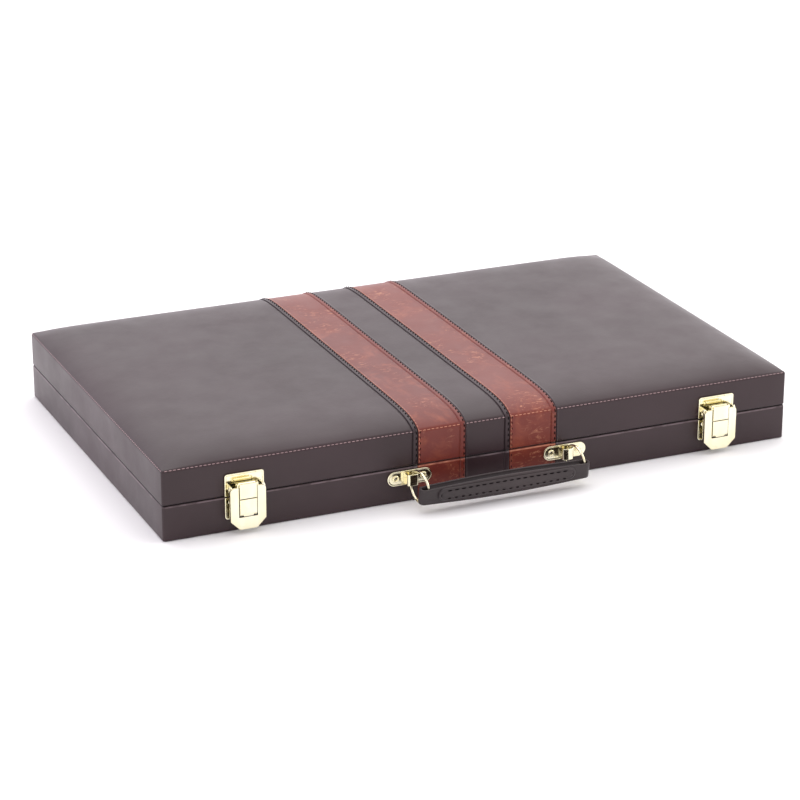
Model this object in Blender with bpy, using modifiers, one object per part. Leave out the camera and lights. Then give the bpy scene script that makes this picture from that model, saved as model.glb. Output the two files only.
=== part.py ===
"""Attache backgammon case: two hinged trays covered in leatherette, with latches and a strap handle.

Metres, +Z up. The closed case lies flat with its handle side towards -Y. The origin is on the
surface it rests on, under the middle of the case.
"""
import math

import bmesh
import bpy
from mathutils import Matrix
from mathutils import Vector

# ---- overall sizes ---------------------------------------------------------------------------
CASE_WIDTH = 0.457            # along X, handle side
CASE_DEPTH = 0.287            # along Y, front to back
CASE_HEIGHT = 0.049           # closed
GAP = 0.0003                  # between pieces that touch on the real case
CUT_MARGIN = 0.01             # that a cutter reaches past what it cuts

# ---- wood and board --------------------------------------------------------------------------
RAIL_THICKNESS = 0.009
PANEL_THICKNESS = 0.003
PLAYFIELD_THICKNESS = 0.0015
DIVIDER_THICKNESS = 0.006
DIVIDER_DROP = 0.0004         # below the rim, so that the two halves close freely
TROUGH_WIDTH = 0.042          # takes checkers of up to 40 mm
PARTITION_THICKNESS = 0.005

# ---- covering --------------------------------------------------------------------------------
COVER_THICKNESS = 0.001
FOAM_THICKNESS = 0.0024
FOAM_INSET = 0.004
EDGE_ROUNDING = 0.0018
STRIPE_WIDTH = 0.0345
STRIPE_SPACING = 0.067        # between the stripes' middles

# ---- hinges ----------------------------------------------------------------------------------
HINGE_X = 0.150
HINGE_LEAF_WIDTH = 0.038
HINGE_LEAF_HEIGHT = 0.016
HINGE_SHEET = 0.001
HINGE_BARREL_RADIUS = 0.0024
HINGE_PIN_RADIUS = 0.0011
HINGE_PIN_CLEARANCE = 0.00025
HINGE_PIN_OVERHANG = 0.0006

# ---- latches ---------------------------------------------------------------------------------
LATCH_X = 0.173
LATCH_PLATE_WIDTH = 0.027
LATCH_PLATE_HEIGHT = 0.0155
LATCH_SHEET = 0.001
LEVER_WIDTH = 0.0245
LEVER_BOTTOM_Z = 0.0032
LEVER_ARM_TOP = 0.002         # above the lever's pivot
LEVER_SHEET = 0.0009
LEVER_CHAMFER = 0.0063
LEVER_SHOULDER = 0.0025
LEVER_FLANGE_DEPTH = 0.0026
LEVER_PIVOT_UP = 0.0065       # above the seam
LEVER_PIVOT_OUT = 0.0039      # in front of the latch plate
LEVER_PIVOT_TO_SHEET = 0.0021
CLAW_WIDTH = 0.0118
CLAW_SHEET = 0.0009
CLAW_THROW = 0.0022           # from the lever's pivot up to the claw's pivot
CLAW_BOTTOM_Z = 0.0122
HOOK_THICKNESS = 0.0012
HOOK_REACH = 0.0037
LEDGE_THICKNESS = 0.0012
LEDGE_REACH = 0.0042
LEDGE_WIDTH = 0.010
EAR_SHEET = 0.001
EAR_RADIUS = 0.0018
PIVOT_PIN_RADIUS = 0.0007
CLAW_PIN_RADIUS = 0.0006
KNUCKLE_RADIUS = 0.0014
PIN_CLEARANCE = 0.0003
SIDE_CLEARANCE = 0.0003
PIN_END = 0.0004              # that a pin stands out of its last hole
OVERLAP = 0.00005             # that joined sheets are set in from each other's faces

# ---- handle and its fittings -----------------------------------------------------------------
LOOP_X = 0.057
LOOP_Z = 0.0175
LOOP_PLATE_LENGTH = 0.0317
LOOP_PLATE_HEIGHT = 0.0102
LOOP_SHEET = 0.001
BRIDGE_HEIGHT = 0.008
BRIDGE_INSIDE_WIDTH = 0.0062
BRIDGE_INSIDE_DEPTH = 0.0055
RIVET_SPACING = 0.0198
RIVET_SHANK_RADIUS = 0.0012
RIVET_HEAD_RADIUS = 0.0022
RIVET_HEAD_HEIGHT = 0.0009
RING_RADIUS = 0.011           # to the middle of the wire
RING_WIRE_RADIUS = 0.0009
RING_CLEARANCE = 0.00035
RING_DROP = 0.0072            # of the ring's centre under the bridge's upper end
RING_YAW = math.radians(10)   # the loose handle has slid a little to one side
HANDLE_DROOP = math.radians(10)
STRAP_THICKNESS = 0.0034
STRAP_END_HEIGHT = 0.011
STRAP_MIDDLE_HEIGHT = 0.0148
FOLD_BORE_RADIUS = 0.0022
FOLD_WALL = 0.0014
FOLD_SLACK = 0.0034           # that the ring can slide in its fold
GRIP_LENGTH = 0.100
GRIP_HEIGHT = 0.0118
GRIP_THICKNESS = 0.0034
GRIP_BEVEL = 0.0009

# ---- derived sizes ---------------------------------------------------------------------------
HALF_WIDTH = CASE_WIDTH / 2
HALF_DEPTH = CASE_DEPTH / 2
SEAM_Z = CASE_HEIGHT / 2
BASE_RIM = SEAM_Z - GAP / 2
LID_RIM = SEAM_Z + GAP / 2
SKIN = COVER_THICKNESS + GAP
RAIL_OUTER_X = HALF_WIDTH - SKIN
RAIL_OUTER_Y = HALF_DEPTH - SKIN
RAIL_INNER_X = RAIL_OUTER_X - RAIL_THICKNESS
RAIL_INNER_Y = RAIL_OUTER_Y - RAIL_THICKNESS
FIELD_FRONT_Y = -RAIL_INNER_Y + TROUGH_WIDTH + DIVIDER_THICKNESS
LATCH_FACE_Y = -HALF_DEPTH - GAP - LATCH_SHEET
LEVER_PIVOT_Y = LATCH_FACE_Y - LEVER_PIVOT_OUT
LEVER_PIVOT_Z = SEAM_Z + LEVER_PIVOT_UP
CLAW_PIVOT_Z = LEVER_PIVOT_Z + CLAW_THROW
LOOP_FACE_Y = -HALF_DEPTH - GAP - LOOP_SHEET
RING_CENTRE_Y = LOOP_FACE_Y - RING_CLEARANCE - RING_WIRE_RADIUS - RING_RADIUS * math.cos(RING_YAW)
RING_CENTRE_Z = LOOP_Z + BRIDGE_HEIGHT / 2 - RING_DROP
RING_CENTRE_SHIFT = RING_RADIUS * math.sin(RING_YAW)
HINGE_AXIS_Y = HALF_DEPTH + GAP + HINGE_BARREL_RADIUS

# ---- colours: linear RGB, roughness, metallic ------------------------------------------------
FINISHES = {
    "leatherette_brown": ((0.060, 0.042, 0.044), 0.45, 0.0),
    "leatherette_rust": ((0.200, 0.055, 0.038), 0.42, 0.0),
    "leather_handle": ((0.055, 0.040, 0.040), 0.50, 0.0),
    "board": ((0.420, 0.300, 0.190), 0.75, 0.0),
    "felt": ((0.330, 0.240, 0.160), 0.95, 0.0),
    "foam": ((0.700, 0.680, 0.600), 0.95, 0.0),
    "brass": ((0.830, 0.710, 0.400), 0.22, 1.0),
}


# ---- building blocks -------------------------------------------------------------------------
def clear_scene():
    """Remove whatever the open file holds."""
    for item in list(bpy.data.objects):
        bpy.data.objects.remove(item, do_unlink=True)


def new_collection(name):
    collection = bpy.data.collections.new(name)
    bpy.context.scene.collection.children.link(collection)
    return collection


def finish_material(part_name, finish):
    """One Principled material for each part, with its finish's colour."""
    colour, roughness, metallic = FINISHES[finish]
    material = bpy.data.materials.new(part_name + "_material")
    material.use_nodes = True
    shader = material.node_tree.nodes["Principled BSDF"]
    shader.inputs["Base Color"].default_value = (*colour, 1.0)
    shader.inputs["Roughness"].default_value = roughness
    shader.inputs["Metallic"].default_value = metallic
    material.diffuse_color = (*colour, 1.0)
    return material


def new_part(name, mesh, place, finish, parent=None):
    """Link a mesh as a part at a world place, under the empty of its joint if it has one."""
    part = bpy.data.objects.new(name, mesh)
    mesh.materials.append(finish_material(name, finish))
    PARTS.objects.link(part)
    attach(part, place, parent)
    return part


def new_tool(name, mesh, place, parent=None):
    """Link a mesh as a hidden cutter or joined lump."""
    tool = bpy.data.objects.new(name, mesh)
    CUTTERS.objects.link(tool)
    tool.hide_render = True
    tool.display_type = "WIRE"
    attach(tool, place, parent)
    return tool


def attach(item, place, parent):
    """Put an item at a world place, under an empty if it moves with one."""
    item.location = Vector(place)
    if parent is not None:
        item.parent = parent
        item.location -= world_place(parent)


def world_place(empty):
    place = Vector((0, 0, 0))
    while empty is not None:
        place += empty.location
        empty = empty.parent
    return place


def axis_empty(name, place, parent=None):
    """An empty on a joint's axis, which carries everything that the joint moves."""
    empty = bpy.data.objects.new(name, None)
    PARTS.objects.link(empty)
    attach(empty, place, parent)
    return empty


def box_mesh(name, size):
    mesh = bpy.data.meshes.new(name)
    bm = bmesh.new()
    bmesh.ops.create_cube(bm, size=1.0)
    bmesh.ops.scale(bm, vec=Vector(size), verts=bm.verts)
    bm.to_mesh(mesh)
    bm.free()
    return mesh


def cylinder_mesh(name, radius, length, axis, segments=24):
    """A cylinder centred on its own origin, along X, Y or Z."""
    mesh = bpy.data.meshes.new(name)
    bm = bmesh.new()
    bmesh.ops.create_cone(bm, cap_ends=True, segments=segments, radius1=radius, radius2=radius,
                          depth=length)
    turn = {"X": "Y", "Y": "X", "Z": "Z"}[axis]
    bmesh.ops.rotate(bm, cent=(0, 0, 0), matrix=Matrix.Rotation(math.pi / 2, 3, turn), verts=bm.verts)
    bm.to_mesh(mesh)
    bm.free()
    mesh.shade_smooth()
    mesh.set_sharp_from_angle(angle=math.radians(40))
    return mesh


def plate_mesh(name, outline, thickness, facing="Y"):
    """A flat outline given thickness about its own middle.

    Facing Y, the outline is in X and Z; facing X, it is in Y and Z.
    """
    mesh = bpy.data.meshes.new(name)
    bm = bmesh.new()
    half = thickness / 2
    if facing == "Y":
        corners = [(across, -half, up) for across, up in outline]
        travel = (0, thickness, 0)
    else:
        corners = [(-half, across, up) for across, up in outline]
        travel = (thickness, 0, 0)
    face = bm.faces.new([bm.verts.new(corner) for corner in corners])
    grown = bmesh.ops.extrude_face_region(bm, geom=[face])
    moved = [v for v in grown["geom"] if isinstance(v, bmesh.types.BMVert)]
    bmesh.ops.translate(bm, vec=travel, verts=moved)
    bmesh.ops.recalc_face_normals(bm, faces=bm.faces)
    bm.to_mesh(mesh)
    bm.free()
    return mesh


def arc(centre, radius, start, end, steps):
    """Points on an arc of an outline, angles in degrees."""
    points = []
    for step in range(steps + 1):
        angle = math.radians(start + (end - start) * step / steps)
        points.append((centre[0] + radius * math.cos(angle), centre[1] + radius * math.sin(angle)))
    return points


def stadium(length, height, steps=8):
    """The outline of a bar with half-round ends."""
    reach = length / 2 - height / 2
    return arc((reach, 0), height / 2, -90, 90, steps) + arc((-reach, 0), height / 2, 90, 270, steps)


def slot_mesh(name, length, radius, height):
    """An upright bar along X with half-round ends, length being between their middles."""
    mesh = plate_mesh(name, stadium(length + 2 * radius, 2 * radius), height)
    mesh.transform(Matrix.Rotation(math.pi / 2, 4, "X"))
    return mesh


def boolean(part, tool, operation):
    modifier = part.modifiers.new(tool.name, "BOOLEAN")
    modifier.operation = operation
    modifier.solver = "EXACT"
    modifier.object = tool
    return modifier


def box_between(name, low, high, finish, parent=None):
    size = [b - a for a, b in zip(low, high)]
    middle = [(a + b) / 2 for a, b in zip(low, high)]
    return new_part(name, box_mesh(name, size), middle, finish, parent)


def tool_between(name, low, high, parent=None):
    size = [b - a for a, b in zip(low, high)]
    middle = [(a + b) / 2 for a, b in zip(low, high)]
    return new_tool(name, box_mesh(name, size), middle, parent)


# ---- the two trays ---------------------------------------------------------------------------
def tray(prefix, outside_z, rim_z, parent=None):
    """Board panel, four rails, playing field, divider and partition of one half.

    outside_z is the outer surface of the half and rim_z its rim; one of them is below the other.
    """
    inward = 1 if rim_z > outside_z else -1
    padding = 0.0 if prefix == "base" else FOAM_THICKNESS + GAP
    rail_outer_z = outside_z + inward * (SKIN + padding)
    rail_rim_z = rim_z - inward * SKIN
    field_outer_z = rail_outer_z + inward * (PANEL_THICKNESS + GAP)
    field_z = field_outer_z + inward * PLAYFIELD_THICKNESS
    wall_foot_z = field_z + inward * GAP
    wall_head_z = rim_z - inward * DIVIDER_DROP
    low_rail, high_rail = sorted((rail_outer_z, rail_rim_z))
    low_wall, high_wall = sorted((wall_foot_z, wall_head_z))
    inside_x = RAIL_INNER_X - GAP
    inside_y = RAIL_INNER_Y - GAP

    for side, word in ((-1, "front"), (1, "back")):
        near, far = sorted((side * RAIL_INNER_Y, side * RAIL_OUTER_Y))
        box_between(f"{prefix}_{word}_rail", (-RAIL_OUTER_X, near, low_rail),
                    (RAIL_OUTER_X, far, high_rail), "board", parent)
    for side, word in ((-1, "left"), (1, "right")):
        near, far = sorted((side * RAIL_INNER_X, side * RAIL_OUTER_X))
        box_between(f"{prefix}_{word}_rail", (near, -inside_y, low_rail),
                    (far, inside_y, high_rail), "board", parent)

    panel_low, panel_high = sorted((rail_outer_z, rail_outer_z + inward * PANEL_THICKNESS))
    box_between(f"{prefix}_panel", (-inside_x, -inside_y, panel_low),
                (inside_x, inside_y, panel_high), "board", parent)
    field_low, field_high = sorted((field_outer_z, field_z))
    box_between(f"{prefix}_playfield", (-inside_x, -inside_y, field_low),
                (inside_x, inside_y, field_high), "felt", parent)
    divider_y = FIELD_FRONT_Y - DIVIDER_THICKNESS
    box_between(f"{prefix}_divider", (-inside_x, divider_y, low_wall),
                (inside_x, FIELD_FRONT_Y, high_wall), "leatherette_brown", parent)
    box_between(f"{prefix}_partition", (-PARTITION_THICKNESS / 2, -inside_y, low_wall),
                (PARTITION_THICKNESS / 2, divider_y - GAP, high_wall), "leatherette_brown", parent)


def rounded_block(name, low, high, round_top, parent):
    """A block with rounded upright edges, and rounded top edges too if asked, as a hidden tool."""
    block = tool_between(name, low, high, parent)
    bm = bmesh.new()
    bm.from_mesh(block.data)
    top = max(v.co.z for v in bm.verts)
    rounded = []
    for edge in bm.edges:
        heights = [v.co.z for v in edge.verts]
        upright = abs(heights[0] - heights[1]) > GAP
        on_top = min(heights) > top - GAP
        if upright or (on_top and round_top):
            rounded.append(edge)
    bmesh.ops.bevel(bm, geom=rounded, offset=EDGE_ROUNDING, segments=3, affect="EDGES", profile=0.5)
    bm.to_mesh(block.data)
    bm.free()
    return block


def cover_shell(prefix, low_z, high_z, closed_top, parent):
    """Hidden lumps that make the covering of one half: its outside, the space for the rails, the mouth."""
    turned_in_x = RAIL_INNER_X - GAP
    turned_in_y = RAIL_INNER_Y - GAP
    inner_x = HALF_WIDTH - COVER_THICKNESS
    inner_y = HALF_DEPTH - COVER_THICKNESS
    space_low = low_z + COVER_THICKNESS if closed_top else low_z - CUT_MARGIN
    mouth_high = low_z + CUT_MARGIN if closed_top else high_z + CUT_MARGIN
    outside = rounded_block(f"{prefix}_outside", (-HALF_WIDTH, -HALF_DEPTH, low_z),
                            (HALF_WIDTH, HALF_DEPTH, high_z), closed_top, parent)
    space = tool_between(f"{prefix}_rail_space", (-inner_x, -inner_y, space_low),
                         (inner_x, inner_y, high_z - COVER_THICKNESS), parent)
    mouth = tool_between(f"{prefix}_mouth", (-turned_in_x, -turned_in_y, low_z - CUT_MARGIN),
                         (turned_in_x, turned_in_y, mouth_high), parent)
    return outside, space, mouth


def cover_slice(name, shell, low, high, finish, parent):
    """The stretch of a cover shell that lies in the box between low and high."""
    piece = box_between(name, low, high, finish, parent)
    outside, space, mouth = shell
    boolean(piece, outside, "INTERSECT")
    boolean(piece, space, "DIFFERENCE")
    boolean(piece, mouth, "DIFFERENCE")
    return piece


def stripe_edges():
    """Edges of the five panels across the case: left, stripe, middle, stripe, right."""
    inner = STRIPE_SPACING / 2 - STRIPE_WIDTH / 2
    outer = STRIPE_SPACING / 2 + STRIPE_WIDTH / 2
    reach = HALF_WIDTH + CUT_MARGIN
    half_gap = GAP / 2
    return {
        "cover_left": (-reach, -outer - half_gap),
        "stripe_left": (-outer + half_gap, -inner - half_gap),
        "cover_middle": (-inner + half_gap, inner - half_gap),
        "stripe_right": (inner + half_gap, outer - half_gap),
        "cover_right": (outer + half_gap, reach),
    }


def panel_finish(word):
    return "leatherette_rust" if word.startswith("stripe") else "leatherette_brown"


def lid_covering(parent):
    shell = cover_shell("lid", LID_RIM, CASE_HEIGHT, True, parent)
    for word, (left, right) in stripe_edges().items():
        cover_slice(f"lid_{word}", shell, (left, -HALF_DEPTH - CUT_MARGIN, LID_RIM - CUT_MARGIN),
                    (right, HALF_DEPTH + CUT_MARGIN, CASE_HEIGHT + CUT_MARGIN), panel_finish(word), parent)
    foam_x = HALF_WIDTH - SKIN - FOAM_INSET
    foam_y = HALF_DEPTH - SKIN - FOAM_INSET
    foam_top = CASE_HEIGHT - SKIN
    box_between("lid_foam", (-foam_x, -foam_y, foam_top - FOAM_THICKNESS), (foam_x, foam_y, foam_top),
                "foam", parent)


def base_covering():
    shell = cover_shell("base", 0.0, BASE_RIM, False, None)
    edges = stripe_edges()
    low_z = -CUT_MARGIN
    high_z = BASE_RIM + CUT_MARGIN
    near_y = -HALF_DEPTH - CUT_MARGIN
    far_y = HALF_DEPTH + CUT_MARGIN
    for word in ("cover_left", "cover_right"):
        left, right = edges[word]
        cover_slice(f"base_{word}", shell, (left, near_y, low_z), (right, far_y, high_z),
                    panel_finish(word), None)
    for word in ("stripe_left", "cover_middle", "stripe_right"):
        left, right = edges[word]
        cover_slice(f"base_{word}", shell, (left, near_y, low_z), (right, 0.0, high_z),
                    panel_finish(word), None)
    cover_slice("base_cover_back", shell, (edges["stripe_left"][0], 0.0, low_z),
                (edges["stripe_right"][1], far_y, high_z), "leatherette_brown", None)
    under_x = HALF_WIDTH - SKIN
    under_y = HALF_DEPTH - SKIN
    box_between("base_bottom_cover", (-under_x, -under_y, 0.0), (under_x, under_y, COVER_THICKNESS),
                "leatherette_brown")


# ---- hinges ----------------------------------------------------------------------------------
def leaf_outline(side, spans):
    """A leaf seen from behind, with a tab for each of its knuckles; heights are from the pin."""
    half = HINGE_LEAF_WIDTH / 2
    near = side * (HINGE_BARREL_RADIUS + GAP)
    far = near + side * HINGE_LEAF_HEIGHT
    points = [(half, far), (-half, far), (-half, near)]
    for left, right in spans:
        points += [(left, near), (left, 0), (right, 0), (right, near)]
    points.append((half, near))
    unique = [point for index, point in enumerate(points) if point != points[index - 1]]
    return unique


def hinge(word, x, lid_axis):
    """A butt hinge on the back: two leaves with a three-part barrel, and its pin."""
    half = HINGE_LEAF_WIDTH / 2
    third = HINGE_LEAF_WIDTH / 6
    outer = ((-half, -third - GAP / 2), (third + GAP / 2, half))
    middle = ((-third + GAP / 2, third - GAP / 2),)
    sheet_y = HALF_DEPTH + GAP + HINGE_SHEET / 2
    for part_word, parent, side, spans in (("base", None, -1, outer), ("lid", lid_axis, 1, middle)):
        name = f"hinge_{word}_{part_word}_leaf"
        leaf = new_part(name, plate_mesh("leaf", leaf_outline(side, spans), HINGE_SHEET),
                        (x, sheet_y, SEAM_Z), "brass", parent)
        for left, right in spans:
            knuckle = new_tool(f"{name}_knuckle",
                               cylinder_mesh("knuckle", HINGE_BARREL_RADIUS, right - left, "X"),
                               (x + (left + right) / 2, HINGE_AXIS_Y, SEAM_Z), parent)
            boolean(leaf, knuckle, "UNION")
        drill_radius = HINGE_PIN_RADIUS + HINGE_PIN_CLEARANCE
        drill = new_tool(f"{name}_bore", cylinder_mesh("bore", drill_radius, 2 * HINGE_LEAF_WIDTH, "X"),
                         (x, HINGE_AXIS_Y, SEAM_Z), parent)
        boolean(leaf, drill, "DIFFERENCE")
    pin_length = HINGE_LEAF_WIDTH + 2 * HINGE_PIN_OVERHANG
    new_part(f"hinge_{word}_pin", cylinder_mesh("pin", HINGE_PIN_RADIUS, pin_length, "X"),
             (x, HINGE_AXIS_Y, SEAM_Z), "brass")


# ---- latches ---------------------------------------------------------------------------------
# Every outline of a lever, ear or claw counts from the pivot that it turns about.
FLANGE_X = LEVER_WIDTH / 2 - LEVER_SHEET / 2 - OVERLAP
EAR_X = LEVER_WIDTH / 2 - LEVER_SHEET - OVERLAP - SIDE_CLEARANCE - EAR_SHEET / 2
LUG_X = CLAW_WIDTH / 2 + SIDE_CLEARANCE + OVERLAP + LEVER_SHEET / 2
LEVER_SHEET_Y = -LEVER_PIVOT_TO_SHEET - LEVER_SHEET / 2
SIDES = ((-1, "left"), (1, "right"))


def lever_outline():
    """The lever's front: arms beside an open slot, and cut corners at its foot."""
    half = LEVER_WIDTH / 2
    slot = CLAW_WIDTH / 2 + SIDE_CLEARANCE
    foot = LEVER_BOTTOM_Z - LEVER_PIVOT_Z
    slot_foot = CLAW_BOTTOM_Z - GAP - LEVER_PIVOT_Z
    shoulder = (half - LEVER_SHOULDER, LEVER_ARM_TOP - LEVER_SHOULDER)
    right = [(half - LEVER_CHAMFER, foot), (half, foot + LEVER_CHAMFER)]
    right += arc(shoulder, LEVER_SHOULDER, 0, 90, 4)
    right += [(slot, LEVER_ARM_TOP), (slot, slot_foot)]
    return right + [(-across, up) for across, up in reversed(right)]


def flange_outline():
    """A folded side of the lever, with a round nose about the pivot."""
    foot = LEVER_BOTTOM_Z - LEVER_PIVOT_Z + LEVER_CHAMFER
    back = LEVER_SHEET_Y + LEVER_FLANGE_DEPTH
    neck = -2 * EAR_RADIUS
    return ([(LEVER_SHEET_Y, foot), (back, foot), (back, neck)]
            + arc((0, 0), EAR_RADIUS, -60, 90, 8) + [(LEVER_SHEET_Y, EAR_RADIUS)])


def lug_outline():
    """A lug of the lever, with a round nose about the claw's pin."""
    return ([(LEVER_SHEET_Y, CLAW_THROW - KNUCKLE_RADIUS)]
            + arc((0, CLAW_THROW), KNUCKLE_RADIUS, -90, 90, 8)
            + [(LEVER_SHEET_Y, CLAW_THROW + KNUCKLE_RADIUS)])


def ear_outline():
    """An ear of the latch plate, with a round nose about the lever's pivot."""
    root = LEVER_PIVOT_OUT + LATCH_SHEET / 2
    return [(root, EAR_RADIUS)] + arc((0, 0), EAR_RADIUS, 90, 270, 10) + [(root, -EAR_RADIUS)]


def claw_outline():
    """The claw from the side: knuckle, neck, tongue, and the hook turned in at its foot."""
    front = LEVER_SHEET_Y - CLAW_SHEET / 2
    back = front + CLAW_SHEET
    foot = CLAW_BOTTOM_Z - CLAW_PIVOT_Z
    neck_top = 0.7 * KNUCKLE_RADIUS
    neck_foot = neck_top - CLAW_SHEET
    start = 180 - math.degrees(math.asin(neck_foot / KNUCKLE_RADIUS))
    end = 540 - math.degrees(math.asin(neck_top / KNUCKLE_RADIUS))
    return ([(back + HOOK_REACH, foot), (back + HOOK_REACH, foot + HOOK_THICKNESS),
             (back, foot + HOOK_THICKNESS), (back, neck_foot)]
            + arc((0, 0), KNUCKLE_RADIUS, start, end, 18) + [(front, neck_top), (front, foot)])


def drilled(part, name, radius, length, place, parent):
    drill = new_tool(name, cylinder_mesh("bore", radius, length, "X", 16), place, parent)
    boolean(part, drill, "DIFFERENCE")


def latch_fixed_plates(word, x, lid_axis):
    """The catch plate on the base, with the ledge for the claw's hook, and the lid's plate with ears."""
    half = LATCH_PLATE_WIDTH / 2
    back_y = -HALF_DEPTH - GAP
    root_y = back_y - LATCH_SHEET / 2
    catch = box_between(f"latch_{word}_catch", (x - half, LATCH_FACE_Y, BASE_RIM - LATCH_PLATE_HEIGHT),
                        (x + half, back_y, BASE_RIM - GAP), "brass")
    ledge_low = CLAW_BOTTOM_Z + HOOK_THICKNESS + GAP
    ledge = tool_between(f"latch_{word}_ledge", (x - LEDGE_WIDTH / 2, LATCH_FACE_Y - LEDGE_REACH, ledge_low),
                         (x + LEDGE_WIDTH / 2, root_y, ledge_low + LEDGE_THICKNESS))
    boolean(catch, ledge, "UNION")

    plate = box_between(f"latch_{word}_plate", (x - half, LATCH_FACE_Y, LID_RIM + GAP),
                        (x + half, back_y, LID_RIM + LATCH_PLATE_HEIGHT), "brass", lid_axis)
    for side, hand in SIDES:
        ear = new_tool(f"latch_{word}_ear_{hand}", plate_mesh("ear", ear_outline(), EAR_SHEET, "X"),
                       (x + side * EAR_X, LEVER_PIVOT_Y, LEVER_PIVOT_Z), lid_axis)
        boolean(plate, ear, "UNION")
    drilled(plate, f"latch_{word}_ear_bore", PIVOT_PIN_RADIUS + PIN_CLEARANCE, 2 * LEVER_WIDTH,
            (x, LEVER_PIVOT_Y, LEVER_PIVOT_Z), lid_axis)
    pin_from = EAR_X - EAR_SHEET / 2 - PIN_END
    pin_to = LEVER_WIDTH / 2 + PIN_END
    for side, hand in SIDES:
        new_part(f"latch_{word}_pivot_{hand}",
                 cylinder_mesh("pivot", PIVOT_PIN_RADIUS, pin_to - pin_from, "X", 12),
                 (x + side * (pin_from + pin_to) / 2, LEVER_PIVOT_Y, LEVER_PIVOT_Z), "brass", lid_axis)


def latch_lever(word, x, lid_axis):
    """Front sheet, folded flanges, two lugs with the claw's pin; returns the empty that it turns about."""
    pivot = (x, LEVER_PIVOT_Y, LEVER_PIVOT_Z)
    lever_axis = axis_empty(f"latch_{word}_lever_axis", pivot, lid_axis)
    lever = new_part(f"latch_{word}_lever", plate_mesh("lever", lever_outline(), LEVER_SHEET),
                     (x, LEVER_PIVOT_Y + LEVER_SHEET_Y, LEVER_PIVOT_Z), "brass", lever_axis)
    for side, hand in SIDES:
        flange = new_tool(f"latch_{word}_flange_{hand}",
                          plate_mesh("flange", flange_outline(), LEVER_SHEET, "X"),
                          (x + side * FLANGE_X, LEVER_PIVOT_Y, LEVER_PIVOT_Z), lever_axis)
        lug = new_tool(f"latch_{word}_lug_{hand}", plate_mesh("lug", lug_outline(), LEVER_SHEET, "X"),
                       (x + side * LUG_X, LEVER_PIVOT_Y, LEVER_PIVOT_Z), lever_axis)
        boolean(lever, flange, "UNION")
        boolean(lever, lug, "UNION")
    for side, hand in SIDES:
        drilled(lever, f"latch_{word}_flange_bore_{hand}", PIVOT_PIN_RADIUS + PIN_CLEARANCE, 4 * LEVER_SHEET,
                (x + side * FLANGE_X, LEVER_PIVOT_Y, LEVER_PIVOT_Z), lever_axis)
    drilled(lever, f"latch_{word}_lug_bore", CLAW_PIN_RADIUS + PIN_CLEARANCE, 2 * LEVER_WIDTH,
            (x, LEVER_PIVOT_Y, CLAW_PIVOT_Z), lever_axis)
    pin_length = 2 * (LUG_X + LEVER_SHEET / 2 + PIN_END)
    new_part(f"latch_{word}_claw_pin", cylinder_mesh("claw_pin", CLAW_PIN_RADIUS, pin_length, "X", 12),
             (x, LEVER_PIVOT_Y, CLAW_PIVOT_Z), "brass", lever_axis)
    return lever_axis


def latch_claw(word, x, lever_axis):
    """The tongue that hangs from its pin in the lever and hooks under the ledge on the base."""
    pivot = (x, LEVER_PIVOT_Y, CLAW_PIVOT_Z)
    claw_axis = axis_empty(f"latch_{word}_claw_axis", pivot, lever_axis)
    claw = new_part(f"latch_{word}_claw", plate_mesh("claw", claw_outline(), CLAW_WIDTH, "X"),
                    pivot, "brass", claw_axis)
    drilled(claw, f"latch_{word}_claw_bore", CLAW_PIN_RADIUS + PIN_CLEARANCE, 2 * CLAW_WIDTH, pivot,
            claw_axis)


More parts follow.
